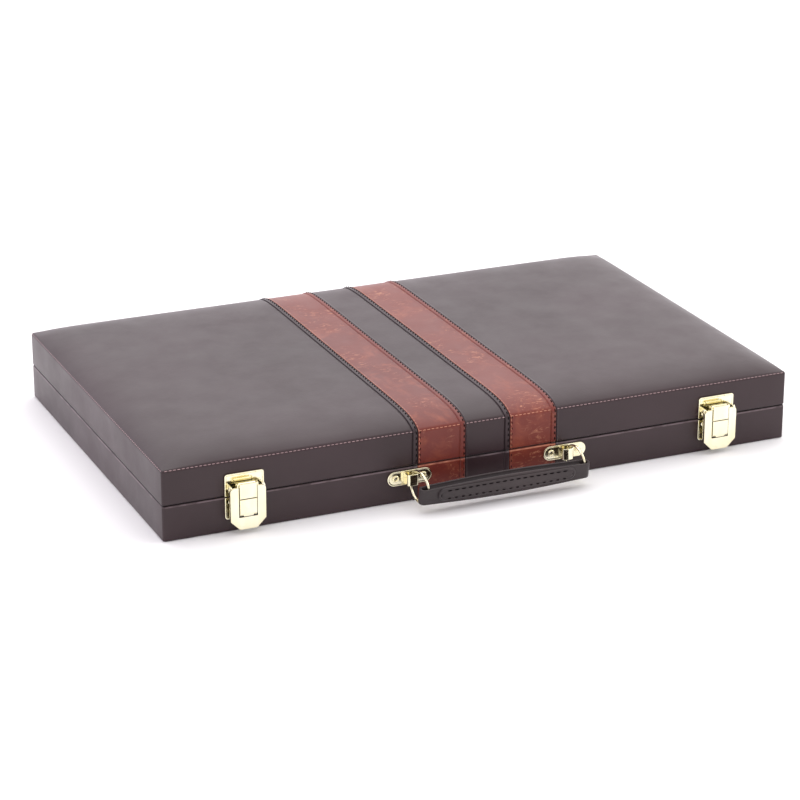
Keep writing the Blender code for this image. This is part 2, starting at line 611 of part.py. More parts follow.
# ---- handle ----------------------------------------------------------------------------------
def loop_plate(word, x):
    """A riveted plate with a raised bridge that a ring runs through."""
    plate_y = -HALF_DEPTH - GAP - LOOP_SHEET / 2
    plate = new_part(f"handle_loop_{word}",
                     plate_mesh("loop", stadium(LOOP_PLATE_LENGTH, LOOP_PLATE_HEIGHT), LOOP_SHEET),
                     (x, plate_y, LOOP_Z), "brass")
    half = BRIDGE_INSIDE_WIDTH / 2
    outer = half + LOOP_SHEET
    depth = BRIDGE_INSIDE_DEPTH + LOOP_SHEET
    bridge = tool_between(f"handle_loop_{word}_bridge",
                          (x - outer, LOOP_FACE_Y - depth, LOOP_Z - BRIDGE_HEIGHT / 2),
                          (x + outer, plate_y, LOOP_Z + BRIDGE_HEIGHT / 2))
    rounding = bridge.modifiers.new("rounding", "BEVEL")
    rounding.width = LOOP_SHEET
    rounding.segments = 2
    rounding.limit_method = "WEIGHT"
    weights = bridge.data.attributes.new("bevel_weight_edge", "FLOAT", "EDGE")
    for edge in bridge.data.edges:
        ends = [bridge.data.vertices[index].co for index in edge.vertices]
        upright = abs(ends[0].z - ends[1].z) > 1e-6
        outward = ends[0].y < 0
        weights.data[edge.index].value = 1.0 if upright and outward else 0.0
    channel = tool_between(f"handle_loop_{word}_channel",
                           (x - half, LOOP_FACE_Y - BRIDGE_INSIDE_DEPTH, LOOP_Z - BRIDGE_HEIGHT),
                           (x + half, LOOP_FACE_Y, LOOP_Z + BRIDGE_HEIGHT))
    boolean(plate, bridge, "UNION")
    boolean(plate, channel, "DIFFERENCE")
    for side, hand in ((-1, "outer"), (1, "inner")):
        rivet_x = x + side * RIVET_SPACING / 2
        hole = new_tool(f"handle_loop_{word}_hole_{hand}",
                        cylinder_mesh("hole", RIVET_SHANK_RADIUS + PIN_CLEARANCE, 0.004, "Y", 16),
                        (rivet_x, plate_y, LOOP_Z))
        boolean(plate, hole, "DIFFERENCE")
        head_back = LOOP_FACE_Y - GAP
        rivet = new_part(f"handle_rivet_{word}_{hand}",
                         cylinder_mesh("rivet", RIVET_HEAD_RADIUS, RIVET_HEAD_HEIGHT, "Y", 20),
                         (rivet_x, head_back - RIVET_HEAD_HEIGHT / 2, LOOP_Z), "brass")
        shank_length = RIVET_HEAD_HEIGHT / 2 + GAP + LOOP_SHEET
        shank = new_tool(f"handle_rivet_{word}_{hand}_shank",
                         cylinder_mesh("shank", RIVET_SHANK_RADIUS, shank_length, "Y", 12),
                         (rivet_x, head_back - RIVET_HEAD_HEIGHT / 2 + shank_length / 2, LOOP_Z))
        boolean(rivet, shank, "UNION")


def ring_mesh():
    """A wire ring in the Y-Z plane about its own origin, turned by the handle's yaw."""
    bpy.ops.mesh.primitive_torus_add(major_radius=RING_RADIUS, minor_radius=RING_WIRE_RADIUS,
                                     major_segments=32, minor_segments=8)
    made = bpy.context.object
    mesh = made.data
    bpy.data.objects.remove(made)
    mesh.transform(Matrix.Rotation(RING_YAW, 4, "Z") @ Matrix.Rotation(math.pi / 2, 4, "Y"))
    mesh.shade_smooth()
    return mesh


def strap_outline(length):
    """The strap seen from the front: its top and bottom edges swell towards the middle as a cosine."""
    steps = 14
    swell = (STRAP_MIDDLE_HEIGHT - STRAP_END_HEIGHT) / 2
    lower = []
    for step in range(steps + 1):
        across = length * (step / steps - 0.5)
        lower.append((across, -STRAP_END_HEIGHT / 2 - swell * math.cos(math.pi * across / length)))
    return lower + [(across, -up) for across, up in reversed(lower)]


def handle():
    """Loops, rings and the folded strap with its stitched grip.

    Places are those of the handle held straight out; the droop then turns it about the ring centres.
    """
    for side, word in SIDES:
        loop_plate(word, side * LOOP_X)
    ring_centre = Vector((RING_CENTRE_SHIFT, RING_CENTRE_Y, RING_CENTRE_Z))
    swing = axis_empty("handle_axis", ring_centre)
    swing.rotation_euler = (HANDLE_DROOP, 0, 0)
    for side, word in SIDES:
        ring_place = ring_centre + Vector((side * LOOP_X, 0, 0))
        new_part(f"handle_ring_{word}", ring_mesh(), ring_place, "brass", swing)

    # inside a fold, the ring's wire bows from its middle to its ends by the sagitta
    sagitta = RING_RADIUS - math.sqrt(RING_RADIUS ** 2 - (STRAP_END_HEIGHT / 2) ** 2)
    fold_reach = RING_RADIUS - sagitta / 2
    fold_place = ring_centre + fold_reach * Vector((math.sin(RING_YAW), -math.cos(RING_YAW), 0))
    strap_middle = fold_place - Vector((FOLD_SLACK / 2, 0, 0))
    strap = new_part("handle_strap", plate_mesh("strap", strap_outline(2 * LOOP_X), STRAP_THICKNESS),
                     strap_middle, "leather_handle", swing)
    ends = [strap_middle + Vector((side * LOOP_X, 0, 0)) for side, word in SIDES]
    fold_height = STRAP_END_HEIGHT - 2 * OVERLAP
    for end, (side, word) in zip(ends, SIDES):
        fold = new_tool(f"handle_fold_{word}",
                        slot_mesh("fold", FOLD_SLACK, FOLD_BORE_RADIUS + FOLD_WALL, fold_height), end, swing)
        boolean(strap, fold, "UNION")
    for end, (side, word) in zip(ends, SIDES):
        bore = new_tool(f"handle_fold_bore_{word}",
                        slot_mesh("bore", FOLD_SLACK, FOLD_BORE_RADIUS, 2 * STRAP_END_HEIGHT), end, swing)
        boolean(strap, bore, "DIFFERENCE")

    grip_out = STRAP_THICKNESS / 2 + GAP + GRIP_THICKNESS / 2
    grip = new_part("handle_grip", plate_mesh("grip", stadium(GRIP_LENGTH, GRIP_HEIGHT), GRIP_THICKNESS),
                    strap_middle + Vector((0, -grip_out, 0)), "leather_handle", swing)
    rounding = grip.modifiers.new("rounding", "BEVEL")
    rounding.width = GRIP_BEVEL
    rounding.segments = 2
    rounding.limit_method = "ANGLE"
    rounding.angle_limit = math.radians(50)


# ---- the case --------------------------------------------------------------------------------
clear_scene()
PARTS = new_collection("backgammon_case")
CUTTERS = new_collection("cutters")

lid_hinge_axis = axis_empty("lid_hinge_axis", (0, HINGE_AXIS_Y, SEAM_Z))
tray("base", 0.0, BASE_RIM)
tray("lid", CASE_HEIGHT, LID_RIM, lid_hinge_axis)
base_covering()
lid_covering(lid_hinge_axis)
for side_sign, side_word in SIDES:
    hinge(side_word, side_sign * HINGE_X, lid_hinge_axis)
    latch_fixed_plates(side_word, side_sign * LATCH_X, lid_hinge_axis)
    side_lever_axis = latch_lever(side_word, side_sign * LATCH_X, lid_hinge_axis)
    latch_claw(side_word, side_sign * LATCH_X, side_lever_axis)
handle()
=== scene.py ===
# %% [markdown]
# # A backgammon case in stitched leatherette
#
# The real object is an attache case: two shallow wooden trays covered in dark brown leatherette with
# two rust stripes, a thin foam pad under the lid's covering, brass draw latches and a strap handle.
# Here it is dressed piece by piece over its engineering model. Each shape is a surface worked out
# with numpy, in millimetres, and each material is built from nodes.

# %% Load the engineering model
import math

import bmesh
import bpy
import numpy as np
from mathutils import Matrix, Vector


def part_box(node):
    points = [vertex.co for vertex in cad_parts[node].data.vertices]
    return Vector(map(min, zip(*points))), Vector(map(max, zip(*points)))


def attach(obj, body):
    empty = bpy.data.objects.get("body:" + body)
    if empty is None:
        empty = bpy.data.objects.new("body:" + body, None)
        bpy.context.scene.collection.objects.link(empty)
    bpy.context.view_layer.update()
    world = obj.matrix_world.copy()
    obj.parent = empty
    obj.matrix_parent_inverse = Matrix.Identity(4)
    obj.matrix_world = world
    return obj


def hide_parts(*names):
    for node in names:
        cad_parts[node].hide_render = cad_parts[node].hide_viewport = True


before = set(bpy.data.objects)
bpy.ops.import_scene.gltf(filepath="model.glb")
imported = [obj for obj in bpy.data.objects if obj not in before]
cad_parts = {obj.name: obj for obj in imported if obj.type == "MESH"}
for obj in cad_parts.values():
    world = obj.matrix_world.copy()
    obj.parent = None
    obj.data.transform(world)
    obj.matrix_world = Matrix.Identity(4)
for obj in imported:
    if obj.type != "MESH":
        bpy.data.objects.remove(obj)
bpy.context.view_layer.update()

MM = 0.001
SCENE = bpy.context.scene


def node_box(name):
    """The lowest and highest corner of a node of the engineering model, in millimetres."""
    low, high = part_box(name)
    return np.array(low) / MM, np.array(high) / MM


# %% [markdown]
# ## Where the camera stands, and the light
#
# A product like this is shot with a long lens from a low three-quarter view, inside a white tent.
# A white tent is a uniform white world. It matters for the looks, because glossy leatherette seen at
# a low angle reflects it: the top and the left side turn grey, and the front stays dark. The tent is
# a little brighter behind the case and a little violet on its left, and three soft lamps add shape.

# %% Camera
AZIMUTH = math.radians(-23.48)
ELEVATION = math.radians(20.97)
camera_data = bpy.data.cameras.new("camera")
camera_data.lens = 128.1
camera_data.sensor_width = 36
camera = bpy.data.objects.new("camera", camera_data)
camera.location = (-0.7542, -1.7337, 0.7369)
camera.rotation_euler = (math.pi / 2 - ELEVATION, 0, AZIMUTH)
SCENE.collection.objects.link(camera)
SCENE.camera = camera
SCENE.view_settings.view_transform = "Standard"
print("camera at", [round(value, 3) for value in camera.location])


# %% One function that adds a node
def add(tree, kind, sockets=None, output=0, **settings):
    """Add a node and return one of its outputs.

    sockets are its inputs, given as values or as links, and settings are its own properties.
    """
    node = tree.nodes.new(kind)
    for name, value in settings.items():
        setattr(node, name, value)
    for name, value in (sockets or {}).items():
        if isinstance(value, bpy.types.NodeSocket):
            tree.links.new(value, node.inputs[name])
        else:
            node.inputs[name].default_value = value
    return node.outputs[output]


def hex_colour(text):
    """An sRGB hex colour as linear RGBA: c/12.92 below 0.04045, else ((c + 0.055)/1.055)^2.4."""
    coded = np.array([int(text[i:i + 2], 16) for i in (1, 3, 5)]) / 255
    linear = np.where(coded <= 0.04045, coded / 12.92, ((coded + 0.055) / 1.055) ** 2.4)
    return (*linear.tolist(), 1.0)


# %% White tent: brighter at the back, a little violet on the left
world = bpy.data.worlds.new("white_tent")
world.use_nodes = True
sky = world.node_tree
sky_place = add(sky, "ShaderNodeTexCoord", output="Generated")
sky_x, sky_y = (add(sky, "ShaderNodeSeparateXYZ", {"Vector": sky_place}, output=axis) for axis in "XY")
strength = add(sky, "ShaderNodeMapRange", {"Value": sky_y, "From Min": -0.6, "From Max": 0.7,
                                           "To Min": 0.95, "To Max": 1.42})
rightwards = add(sky, "ShaderNodeMapRange", {"Value": sky_x, "From Min": -0.7, "From Max": 0.7})
tint = add(sky, "ShaderNodeMixRGB", {"Fac": rightwards, "Color1": (0.985, 0.925, 1.02, 1.0),
                                     "Color2": (1.0, 0.985, 0.97, 1.0)})
for link, socket in ((strength, "Strength"), (tint, "Color")):
    sky.links.new(link, sky.nodes["Background"].inputs[socket])
SCENE.world = world

# %% Soft lamps: where each stands, where it aims (metres), its width and its power
for name, place, aim, size, power in (("overhead_softbox", (0.2, 0.7, 2.2), (0, 0.2, 0), 2.6, 22),
                                      ("right_softbox", (1.5, -0.7, 0.9), (0.2, -0.1, 0), 0.9, 7),
                                      ("left_softbox", (-1.9, 0.1, 0.7), (-0.2, 0, 0), 0.9, 5)):
    lamp_data = bpy.data.lights.new(name, "AREA")
    lamp_data.size, lamp_data.energy = size, power
    lamp = bpy.data.objects.new(name, lamp_data)
    lamp.location = place
    ray = np.array(aim) - np.array(place)
    lamp.rotation_euler = (math.acos(-ray[2] / np.linalg.norm(ray)), 0,
                           math.atan2(ray[0], -ray[1]) + math.pi)
    SCENE.collection.objects.link(lamp)
print("lamps:", ", ".join(light.name for light in bpy.data.lights))

# %% [markdown]
# ## A surface from a grid of points
#
# Nearly every piece below is a grid: rows and columns of points, found from two parameters. These
# helpers join a grid's points into faces, and put them into a mesh that rides on a body.


# %% Faces of a grid, and a piece from them
def quads(rows, columns, loop_rows=False, loop_columns=False, start=0):
    """The corners of each face between neighbours (i, j), (i+1, j), (i+1, j+1), (i, j+1) of a grid."""
    i, j = np.meshgrid(np.arange(rows - (not loop_rows)), np.arange(columns - (not loop_columns)),
                       indexing="ij")
    i, j = i.ravel(), j.ravel()
    below, beside = (i + 1) % rows, (j + 1) % columns
    corners = [i * columns + j, below * columns + j, below * columns + beside, i * columns + beside]
    return (start + np.stack(corners, axis=1)).tolist()


MATERIALS = {}


def piece(name, points, faces, finish, body, smooth=38, outward=None):
    """Put points (millimetres) and faces into a named piece of one finish that rides on a body.

    Points within 0.002 mm are merged. Edges sharper than smooth degrees stay hard. The largest face
    of an open sheet is turned outward.
    """
    mesh = bpy.data.meshes.new(name)
    mesh.from_pydata((np.asarray(points).reshape(-1, 3) * MM).tolist(), [], faces)
    bm = bmesh.new()
    bm.from_mesh(mesh)
    bmesh.ops.remove_doubles(bm, verts=bm.verts, dist=2e-6)
    bmesh.ops.dissolve_degenerate(bm, edges=bm.edges, dist=1e-7)
    bmesh.ops.recalc_face_normals(bm, faces=bm.faces)
    if outward is not None:
        largest = max(bm.faces, key=lambda face: face.calc_area())
        if largest.normal.dot(Vector(outward)) < 0:
            bmesh.ops.reverse_faces(bm, faces=bm.faces)
    bm.to_mesh(mesh)
    bm.free()
    mesh.polygons.foreach_set("use_smooth", np.ones(len(mesh.polygons), dtype=bool))
    mesh.set_sharp_from_angle(angle=math.radians(smooth))
    item = bpy.data.objects.new(name, mesh)
    SCENE.collection.objects.link(item)
    mesh.materials.append(MATERIALS[finish])
    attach(item, body)
    return item


# %% [markdown]
# ## The finishes
#
# Leatherette is a PVC film on cloth, embossed with a fine grain and a satin top coat. The grain is
# bump of about 1 mm; the tone drifts over hand-sized patches, and the gloss varies a little with it.
# The rust kind is printed with paler marbled clouds and short scuffs, like waxed leather. Where the
# halves meet, a pale line along the base's rim is partly rubbed wear and partly a painted highlight
# of its top edge, and a dark band above it is painted shade in the gap between the halves.
# A finish is a stack of colours, each laid over the last where its pattern is 1.


# %% Patterns, from noise on Object coordinates
def object_noise(tree, size_mm, stretch=(1, 1, 1), **inputs):
    """Noise on Object coordinates whose features are about size_mm wide, stretched along the axes."""
    place = add(tree, "ShaderNodeTexCoord", output="Object")
    stretched = add(tree, "ShaderNodeMapping", {"Vector": place, "Scale": stretch})
    sockets = {name.title(): value for name, value in inputs.items()}
    return add(tree, "ShaderNodeTexNoise",
               {"Vector": stretched, "Scale": 1000 / size_mm, "Detail": 3.0, **sockets})


def patches(tree, size_mm, window, to=(0.0, 1.0), **noise):
    """object_noise with the values of its window mapped to another range, and clamped."""
    return add(tree, "ShaderNodeMapRange", {"Value": object_noise(tree, size_mm, **noise),
                                            "From Min": window[0], "From Max": window[1],
                                            "To Min": to[0], "To Max": to[1]})


def rim_line(tree, height, reach, ragged):
    """max(0, 1 - |z - height| / reach), in mm, times a noise between ragged and 1."""
    place = add(tree, "ShaderNodeTexCoord", output="Object")
    z = add(tree, "ShaderNodeSeparateXYZ", {"Vector": place}, output="Z")
    above = add(tree, "ShaderNodeMath", {0: z, 1: height * MM}, operation="SUBTRACT")
    away = add(tree, "ShaderNodeMath", {0: above}, operation="ABSOLUTE")
    near = add(tree, "ShaderNodeMapRange",
               {"Value": away, "From Max": reach * MM, "To Min": 1.0, "To Max": 0.0})
    uneven = patches(tree, 9, (0.36, 0.56), (ragged, 1.0), detail=4.0)
    return add(tree, "ShaderNodeMath", {0: near, 1: uneven}, operation="MULTIPLY")


# %% A material, from its colours, gloss and bump
def new_material(name):
    material = bpy.data.materials.new(name)
    material.use_nodes = True
    return material, material.node_tree


def dress(material, dark, layers, roughness=None, height=None, depth=0.0, strength=0.5, **values):
    """Lay hex colours over dark, each where its pattern is 1, and link colour, roughness and bump.

    height is the bump's pattern and depth its size in mm; values are plain settings of the shader.
    """
    tree = material.node_tree
    shader = tree.nodes["Principled BSDF"]
    colour = hex_colour(dark)
    for pattern, over in layers:
        colour = add(tree, "ShaderNodeMixRGB", {"Fac": pattern, "Color1": colour, "Color2": hex_colour(over)})
    links = {"Base Color": colour}
    if height:
        links["Roughness"] = roughness
        links["Normal"] = add(tree, "ShaderNodeBump",
                              {"Height": height, "Strength": strength, "Distance": depth * MM})
    for socket, link in links.items():
        tree.links.new(link, shader.inputs[socket])
    for name, value in values.items():
        shader.inputs[name.replace("_", " ")].default_value = value


# %% Leatherette, from tone, marbling, grain and gloss
def leatherette(key, name, dark, light, marbling=None, rim_highlight_and_wear=None, gloss=(0.34, 0.44), grain_depth=0.05):
    """Embossed PVC: tone from noise 90 mm wide, clouds 17 mm wide, grain from cells 1.1 mm wide."""
    material, tree = new_material(name)
    layers = [(patches(tree, 90, (0.35, 0.65), detail=4.0), light)]
    if marbling:
        clouds = patches(tree, 17, (0.52, 0.80), stretch=(1, 0.7, 1), detail=7.0, roughness=0.62,
                         distortion=0.9)
        scuffs = patches(tree, 4, (0.54, 0.68), (0.0, 0.6), stretch=(0.5, 1.1, 1), detail=5.0,
                         roughness=0.7, distortion=1.5)
        flecks = add(tree, "ShaderNodeMath", {0: scuffs, 1: patches(tree, 24, (0.50, 0.60))},
                     operation="MULTIPLY")
        layers += [(clouds, marbling), (flecks, "#cf8f6c")]
    # Partly wear and partly a painted highlight: a pale line 0.9 mm below the base's rim. Painted shade: a
    # near-black band 0.4 mm above the rim, in the gap between the halves.
    if rim_highlight_and_wear:
        rim = node_box("base_stripe_left")[1][2]
        layers += [(rim_line(tree, rim - 0.9, 0.75, 0.15), rim_highlight_and_wear),
                   (rim_line(tree, rim + 0.4, 1.0, 0.9), "#050303")]
    place = add(tree, "ShaderNodeTexCoord", output="Object")
    cells = add(tree, "ShaderNodeTexVoronoi", {"Vector": place, "Scale": 900.0, "Randomness": 1.0},
                feature="SMOOTH_F1")
    ripple = object_noise(tree, 12, (0.5, 1, 1), detail=4.0)
    grain = add(tree, "ShaderNodeMath", {0: cells, 1: ripple}, operation="ADD")
    dress(material, dark, layers, patches(tree, 25, (0.3, 0.7), gloss, detail=5.0, roughness=0.6), grain,
          grain_depth, IOR=1.46, Sheen_Weight=0.12, Sheen_Roughness=0.35,
          Sheen_Tint=(1.0, 0.88, 0.97, 1.0))
    MATERIALS[key] = material


# The last colour of the brown and rust kinds is a pale line along the base's rim: partly wear, partly a
# painted highlight.
leatherette("brown", "brown_leatherette", "#29171a", "#322024", rim_highlight_and_wear="#6d5c60")
leatherette("rust", "rust_leatherette", "#652116", "#742b1c", marbling="#8d442c", rim_highlight_and_wear="#c87f60")
leatherette("handle", "handle_leather", "#2a2122", "#372d2d", gloss=(0.42, 0.52), grain_depth=0.08)
leatherette("cream", "cream_leatherette", "#cbb891", "#d8c8a4", gloss=(0.45, 0.55))
print("leatherette:", ", ".join(MATERIALS))


# %% [markdown]
# ## Metal, thread and lining
#
# The fittings are stamped steel, brass plated and polished. That is a metal with a pale yellow
# reflection, low roughness and faint buffing marks. Thread is twisted polyester, and the linings
# are flock: rough, and a little brighter at grazing angles, which is the shader's sheen.

# %% Brass plating, thread, flock, board and foam
def plain_finish(key, name, dark, light, roughness, size_mm, depth, stretch=(1, 1, 1), **values):
    """A finish of two close tones, with gloss and bump from the same noise, size_mm wide."""
    material, tree = new_material(name)
    noise = object_noise(tree, size_mm, stretch, detail=4.0)
    tone = add(tree, "ShaderNodeMapRange", {"Value": noise, "From Min": 0.3, "From Max": 0.7})
    gloss = add(tree, "ShaderNodeMapRange", {"Value": noise, "From Min": 0.2, "From Max": 0.8,
                                             "To Min": roughness[0], "To Max": roughness[1]})
    dress(material, dark, [(tone, light)], gloss, noise, depth, 0.4, **values)
    MATERIALS[key] = material


# Buffed plating gives clear pale reflections, and drawn wire slightly softer ones.
plain_finish("brass", "polished_brass_plating", "#f8efc6", "#fdf8de", (0.10, 0.17), 8.0, 0.006,
             (1, 1, 0.4), Metallic=1.0)
plain_finish("steel", "plated_wire", "#f3eac2", "#faf4d8", (0.14, 0.22), 4.0, 0.004, Metallic=1.0)
# Waxed dark thread and edge paint hardly reflect, so their IOR is low and they stay near black.
# Both finishes also paint shade: strips beside the stripes' folds and seams, a sheet in each latch's
# slot, strips in the claws' gaps, and crosses on the screw heads.
plain_finish("dark_thread_and_shade", "dark_brown_thread_and_shade", "#0d090a", "#191214", (0.6, 0.75), 0.6, 0.05, IOR=1.18)
plain_finish("edge_paint_and_shade", "edge_paint_and_shade", "#151011", "#221a1b", (0.45, 0.55), 1.5, 0.03, IOR=1.3)
# The rose-grey thread also paints highlights on the grip's lower row of stitches.
plain_finish("pale_thread_and_highlight", "rose_grey_thread_and_highlight", "#9a7c7e", "#b89a9a", (0.5, 0.65), 0.6, 0.05)
plain_finish("rust_thread", "light_rust_thread", "#c07a5c", "#d69a7c", (0.5, 0.65), 0.6, 0.05)
# Board, flock and foam are matt; flock has a haze at grazing angles.
plain_finish("board", "grey_board", "#7a6a55", "#8f7d66", (0.75, 0.85), 2.0, 0.04, (1, 6, 6))
plain_finish("felt", "tan_flock", "#8a6a45", "#9c7c55", (0.9, 0.97), 0.7, 0.09, Sheen_Weight=0.35)
plain_finish("foam", "open_cell_foam", "#cfc8b4", "#e2dcc9", (0.9, 0.97), 1.2, 0.2)
print("finishes:", ", ".join(MATERIALS))

# %% [markdown]
# ## The covering
#
# A cover is one sheet that laps over the rim, climbs the wall, turns the edge and crosses the top.
# Seen from above, it is a rectangle that shrinks inwards ring by ring. So a point is found from two
# parameters: where it is round the case, and how far it is along the profile (inset, height). Under
# the lid's sheet is a thin foam pad, so its top is crowned: it rises as 1 - exp(-distance / 9.5 mm)
# from every edge.

# %% Sizes, taken from the model
SIDES = ((-1, "left"), (1, "right"))
low, high = node_box("base_cover_left")
HALF_WIDTH, HALF_DEPTH, BASE_RIM = -low[0], -low[1], high[2]
low, high = node_box("lid_cover_left")
LID_RIM, LID_TOP = low[2], high[2]
FLANGE = HALF_DEPTH + node_box("base_cover_middle")[1][1]
SHEET = 0.8
CORNER = 1.8
CROWN = 6.8
CROWN_REACH = 9.5
EDGE_Z = LID_TOP - 0.3
print(f"case {2 * HALF_WIDTH:.1f} x {2 * HALF_DEPTH:.1f} mm, rims at {BASE_RIM:.2f} and {LID_RIM:.2f} mm")


def crown(x, y):
    """How far the padded top rises: CROWN (1 - e^(-dx/reach)) (1 - e^(-dy/reach)), plus slow hollows."""
    dx = np.clip(HALF_WIDTH - np.abs(x), 0, None)
    dy = np.clip(HALF_DEPTH - np.abs(y), 0, None)
    rise = (1 - np.exp(-dx / CROWN_REACH)) * (1 - np.exp(-dy / CROWN_REACH))
    slow = 0.06 * np.sin(x / 31 + 1.0) * np.sin(y / 23 + 0.4) + 0.04 * np.sin(x / 13 - y / 17)
    return rise * (CROWN + slow)


def crowned(z, x, y, up):
    """A height z, raised by the crown as far as the surface faces up: z + crown(x, y) up^3."""
    return z + crown(x, y) * np.clip(up, 0, 1) ** 3


# %% Profiles: columns are inset, height, how much of the crown applies, and the outward direction
def turn(centre, radius, start, end, steps=5):
    """Points of a rounded edge, centre + radius (cos, sin), with their outward directions; degrees."""
    angle = np.radians(np.linspace(start, end, steps))
    return np.stack([centre[0] - radius * np.cos(angle), centre[1] + radius * np.sin(angle),
                     np.cos(angle), np.sin(angle)], axis=1)


def row(inset, z, out, up):
    return np.array([[inset, z, out, up]])


RIM_ROUND, BASE_RIM_ROUND, TOP_ROUND, BOTTOM_ROUND = 1.0, 1.1, 1.5, 0.85
LID_WALL = np.concatenate([
    row(FLANGE, LID_RIM, 0, -1), row(FLANGE / 2, LID_RIM, 0, -1),
    turn((RIM_ROUND, LID_RIM + RIM_ROUND), RIM_ROUND, -90, 0),
    *[row(0, z, 1, 0) for z in np.linspace(LID_RIM + 2, EDGE_Z - TOP_ROUND - 0.6, 7)],
    turn((TOP_ROUND, EDGE_Z - TOP_ROUND), TOP_ROUND, 0, 90, 7)])
TOP_INSETS = np.array([2, 2.6, 3.4, 4.4, 5.6, 7, 9, 11.5, 15, 20, 27, 36, 48, 64, 84, 108, HALF_DEPTH])
LID_TOP_ROWS = np.concatenate([row(inset, EDGE_Z, 0, 1) for inset in TOP_INSETS])
LID_PROFILE = np.concatenate([LID_WALL, LID_TOP_ROWS])
BASE_PROFILE = np.concatenate([
    row(FLANGE, BASE_RIM, 0, 1), row(FLANGE / 2, BASE_RIM, 0, 1),
    turn((BASE_RIM_ROUND, BASE_RIM - BASE_RIM_ROUND), BASE_RIM_ROUND, 90, 0),
    *[row(0, z, 1, 0) for z in np.linspace(BASE_RIM - 2, 2.0, 7)],
    turn((BOTTOM_ROUND, BOTTOM_ROUND), BOTTOM_ROUND, 0, -90)])
print(f"profiles of {len(LID_PROFILE)} and {len(BASE_PROFILE)} rows")


# %% Seams: a pressed fold 3.2 mm wide on the left of each, and a low edge on its right
def seam_relief(x, left, right):
    """Height over a panel: a fold 0.5 mm high along its right seam with a groove beside it, and
    a turned edge, 0.3 mm high, at its left seam. None for a side without a seam."""
    height = np.zeros_like(x)
    if right is not None:
        inner = right - x
        height += 0.5 / (1 + np.exp((inner - 3.1) / 0.1)) - 0.32 * np.exp(-((inner - 3.6) / 0.35) ** 2)
        height -= 0.4 * np.exp(-(inner / 0.2) ** 2)
    if left is not None:
        height += 0.3 * np.exp(-((x - left - 0.75) / 0.4) ** 2) - 0.25 * np.exp(-((x - left) / 0.25) ** 2)
    return height


SEAM_STEPS = np.array([0, 0.1, 0.3, 0.7, 1.4, 2.2, 2.7, 2.95, 3.1, 3.25, 3.5, 3.8, 4.2, 5, 7])


def panel_columns(left, right):
    """Places across a panel, close together at its seams."""
    return np.unique(np.concatenate([left + SEAM_STEPS, right - SEAM_STEPS,
                                     np.linspace(left + 7, right - 7, 6)]))


def cross_panel(profile, left, right, side, padded):
    """One run of a panel across the front (side -1) or back (+1): a grid of profile rows by columns."""
    columns = panel_columns(left, right)
    x = np.broadcast_to(columns, (len(profile), len(columns)))
    inset, z, out, up = (profile[:, k:k + 1] for k in range(4))
    relief = seam_relief(x, left, right)
    y = side * (HALF_DEPTH - inset + relief * out)
    z = z + relief * up
    if padded:
        z = crowned(z, x, y, up)
    return np.stack([x, y, np.broadcast_to(z, x.shape)], axis=2)


# %% A corner panel: front run, rounded corner, side, rounded corner, back run
def corner_panel(profile, seam, seam_side, hand, padded):
    """A C-shaped panel. hand is -1 on the left of the case and +1 on its right.

    Worked out for the left: ring at inset d is x from the seam to d - W/2, round the corner of
    radius max(R - d, 0), and along the side, then mirrored to the back.
    """
    edge = -hand * seam
    inset = profile[:, :1]
    radius = np.clip(CORNER - inset, 0, None)
    centre = np.maximum(CORNER, inset)
    near = edge - SEAM_STEPS
    far = edge - 7 - np.linspace(0, 1, 15)[1:] * (edge - 7 + HALF_WIDTH - centre)
    run_x = np.concatenate([np.broadcast_to(near, (len(profile), len(near))), far], axis=1)
    run_y = np.broadcast_to(inset - HALF_DEPTH, run_x.shape)
    angle = np.radians(np.linspace(-90, -180, 6))[None, 1:-1]
    arc_x = centre - HALF_WIDTH + radius * np.cos(angle)
    arc_y = centre - HALF_DEPTH + radius * np.sin(angle)
    side_y = (HALF_DEPTH - centre) * np.linspace(-1, 1, 23)[None, :]
    side_x = np.broadcast_to(inset - HALF_WIDTH, side_y.shape)
    x = np.concatenate([run_x, arc_x, side_x, arc_x[:, ::-1], run_x[:, ::-1]], axis=1)
    y = np.concatenate([run_y, arc_y, side_y, -arc_y[:, ::-1], -run_y[:, ::-1]], axis=1)
    relief = seam_relief(x, None, edge) if seam_side == "fold" else seam_relief(-x, -edge, None)
    z = profile[:, 1:2] + relief * profile[:, 3:4]
    y = y + np.sign(y) * relief * profile[:, 2:3] * (np.abs(y) > HALF_DEPTH - 0.9)
    if padded:
        z = crowned(z, -hand * x, y, profile[:, 3:4])
    return np.stack([-hand * x, y, z], axis=2)


def sheet_piece(name, grids, finish, body, node):
    """Join grids of points into one sheet, and give it thickness inwards."""
    points = np.concatenate([grid.reshape(-1, 3) for grid in grids])
    faces, start = [], 0
    for grid in grids:
        faces += quads(*grid.shape[:2], start=start)
        start += grid.shape[0] * grid.shape[1]
    item = piece(name, points, faces, finish, body, outward=(0, 0, 1), smooth=50)
    solid = item.modifiers.new("thickness", "SOLIDIFY")
    solid.thickness = SHEET * MM
    solid.offset = -1
    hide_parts(node)
    return item


# %% Cover both halves
def panel_edges(node):
    return node_box(node)[0][0], node_box(node)[1][0]


def wrapped_panel(body, node, finish, sides=(-1, 1)):
    """A panel between two seams, over the runs that it crosses."""
    profile = LID_PROFILE if body == "lid" else BASE_PROFILE
    left, right = panel_edges(node)
    grids = [cross_panel(profile, left, right, side, body == "lid") for side in sides]
    return sheet_piece(node + "_skin", grids, finish, body, node)


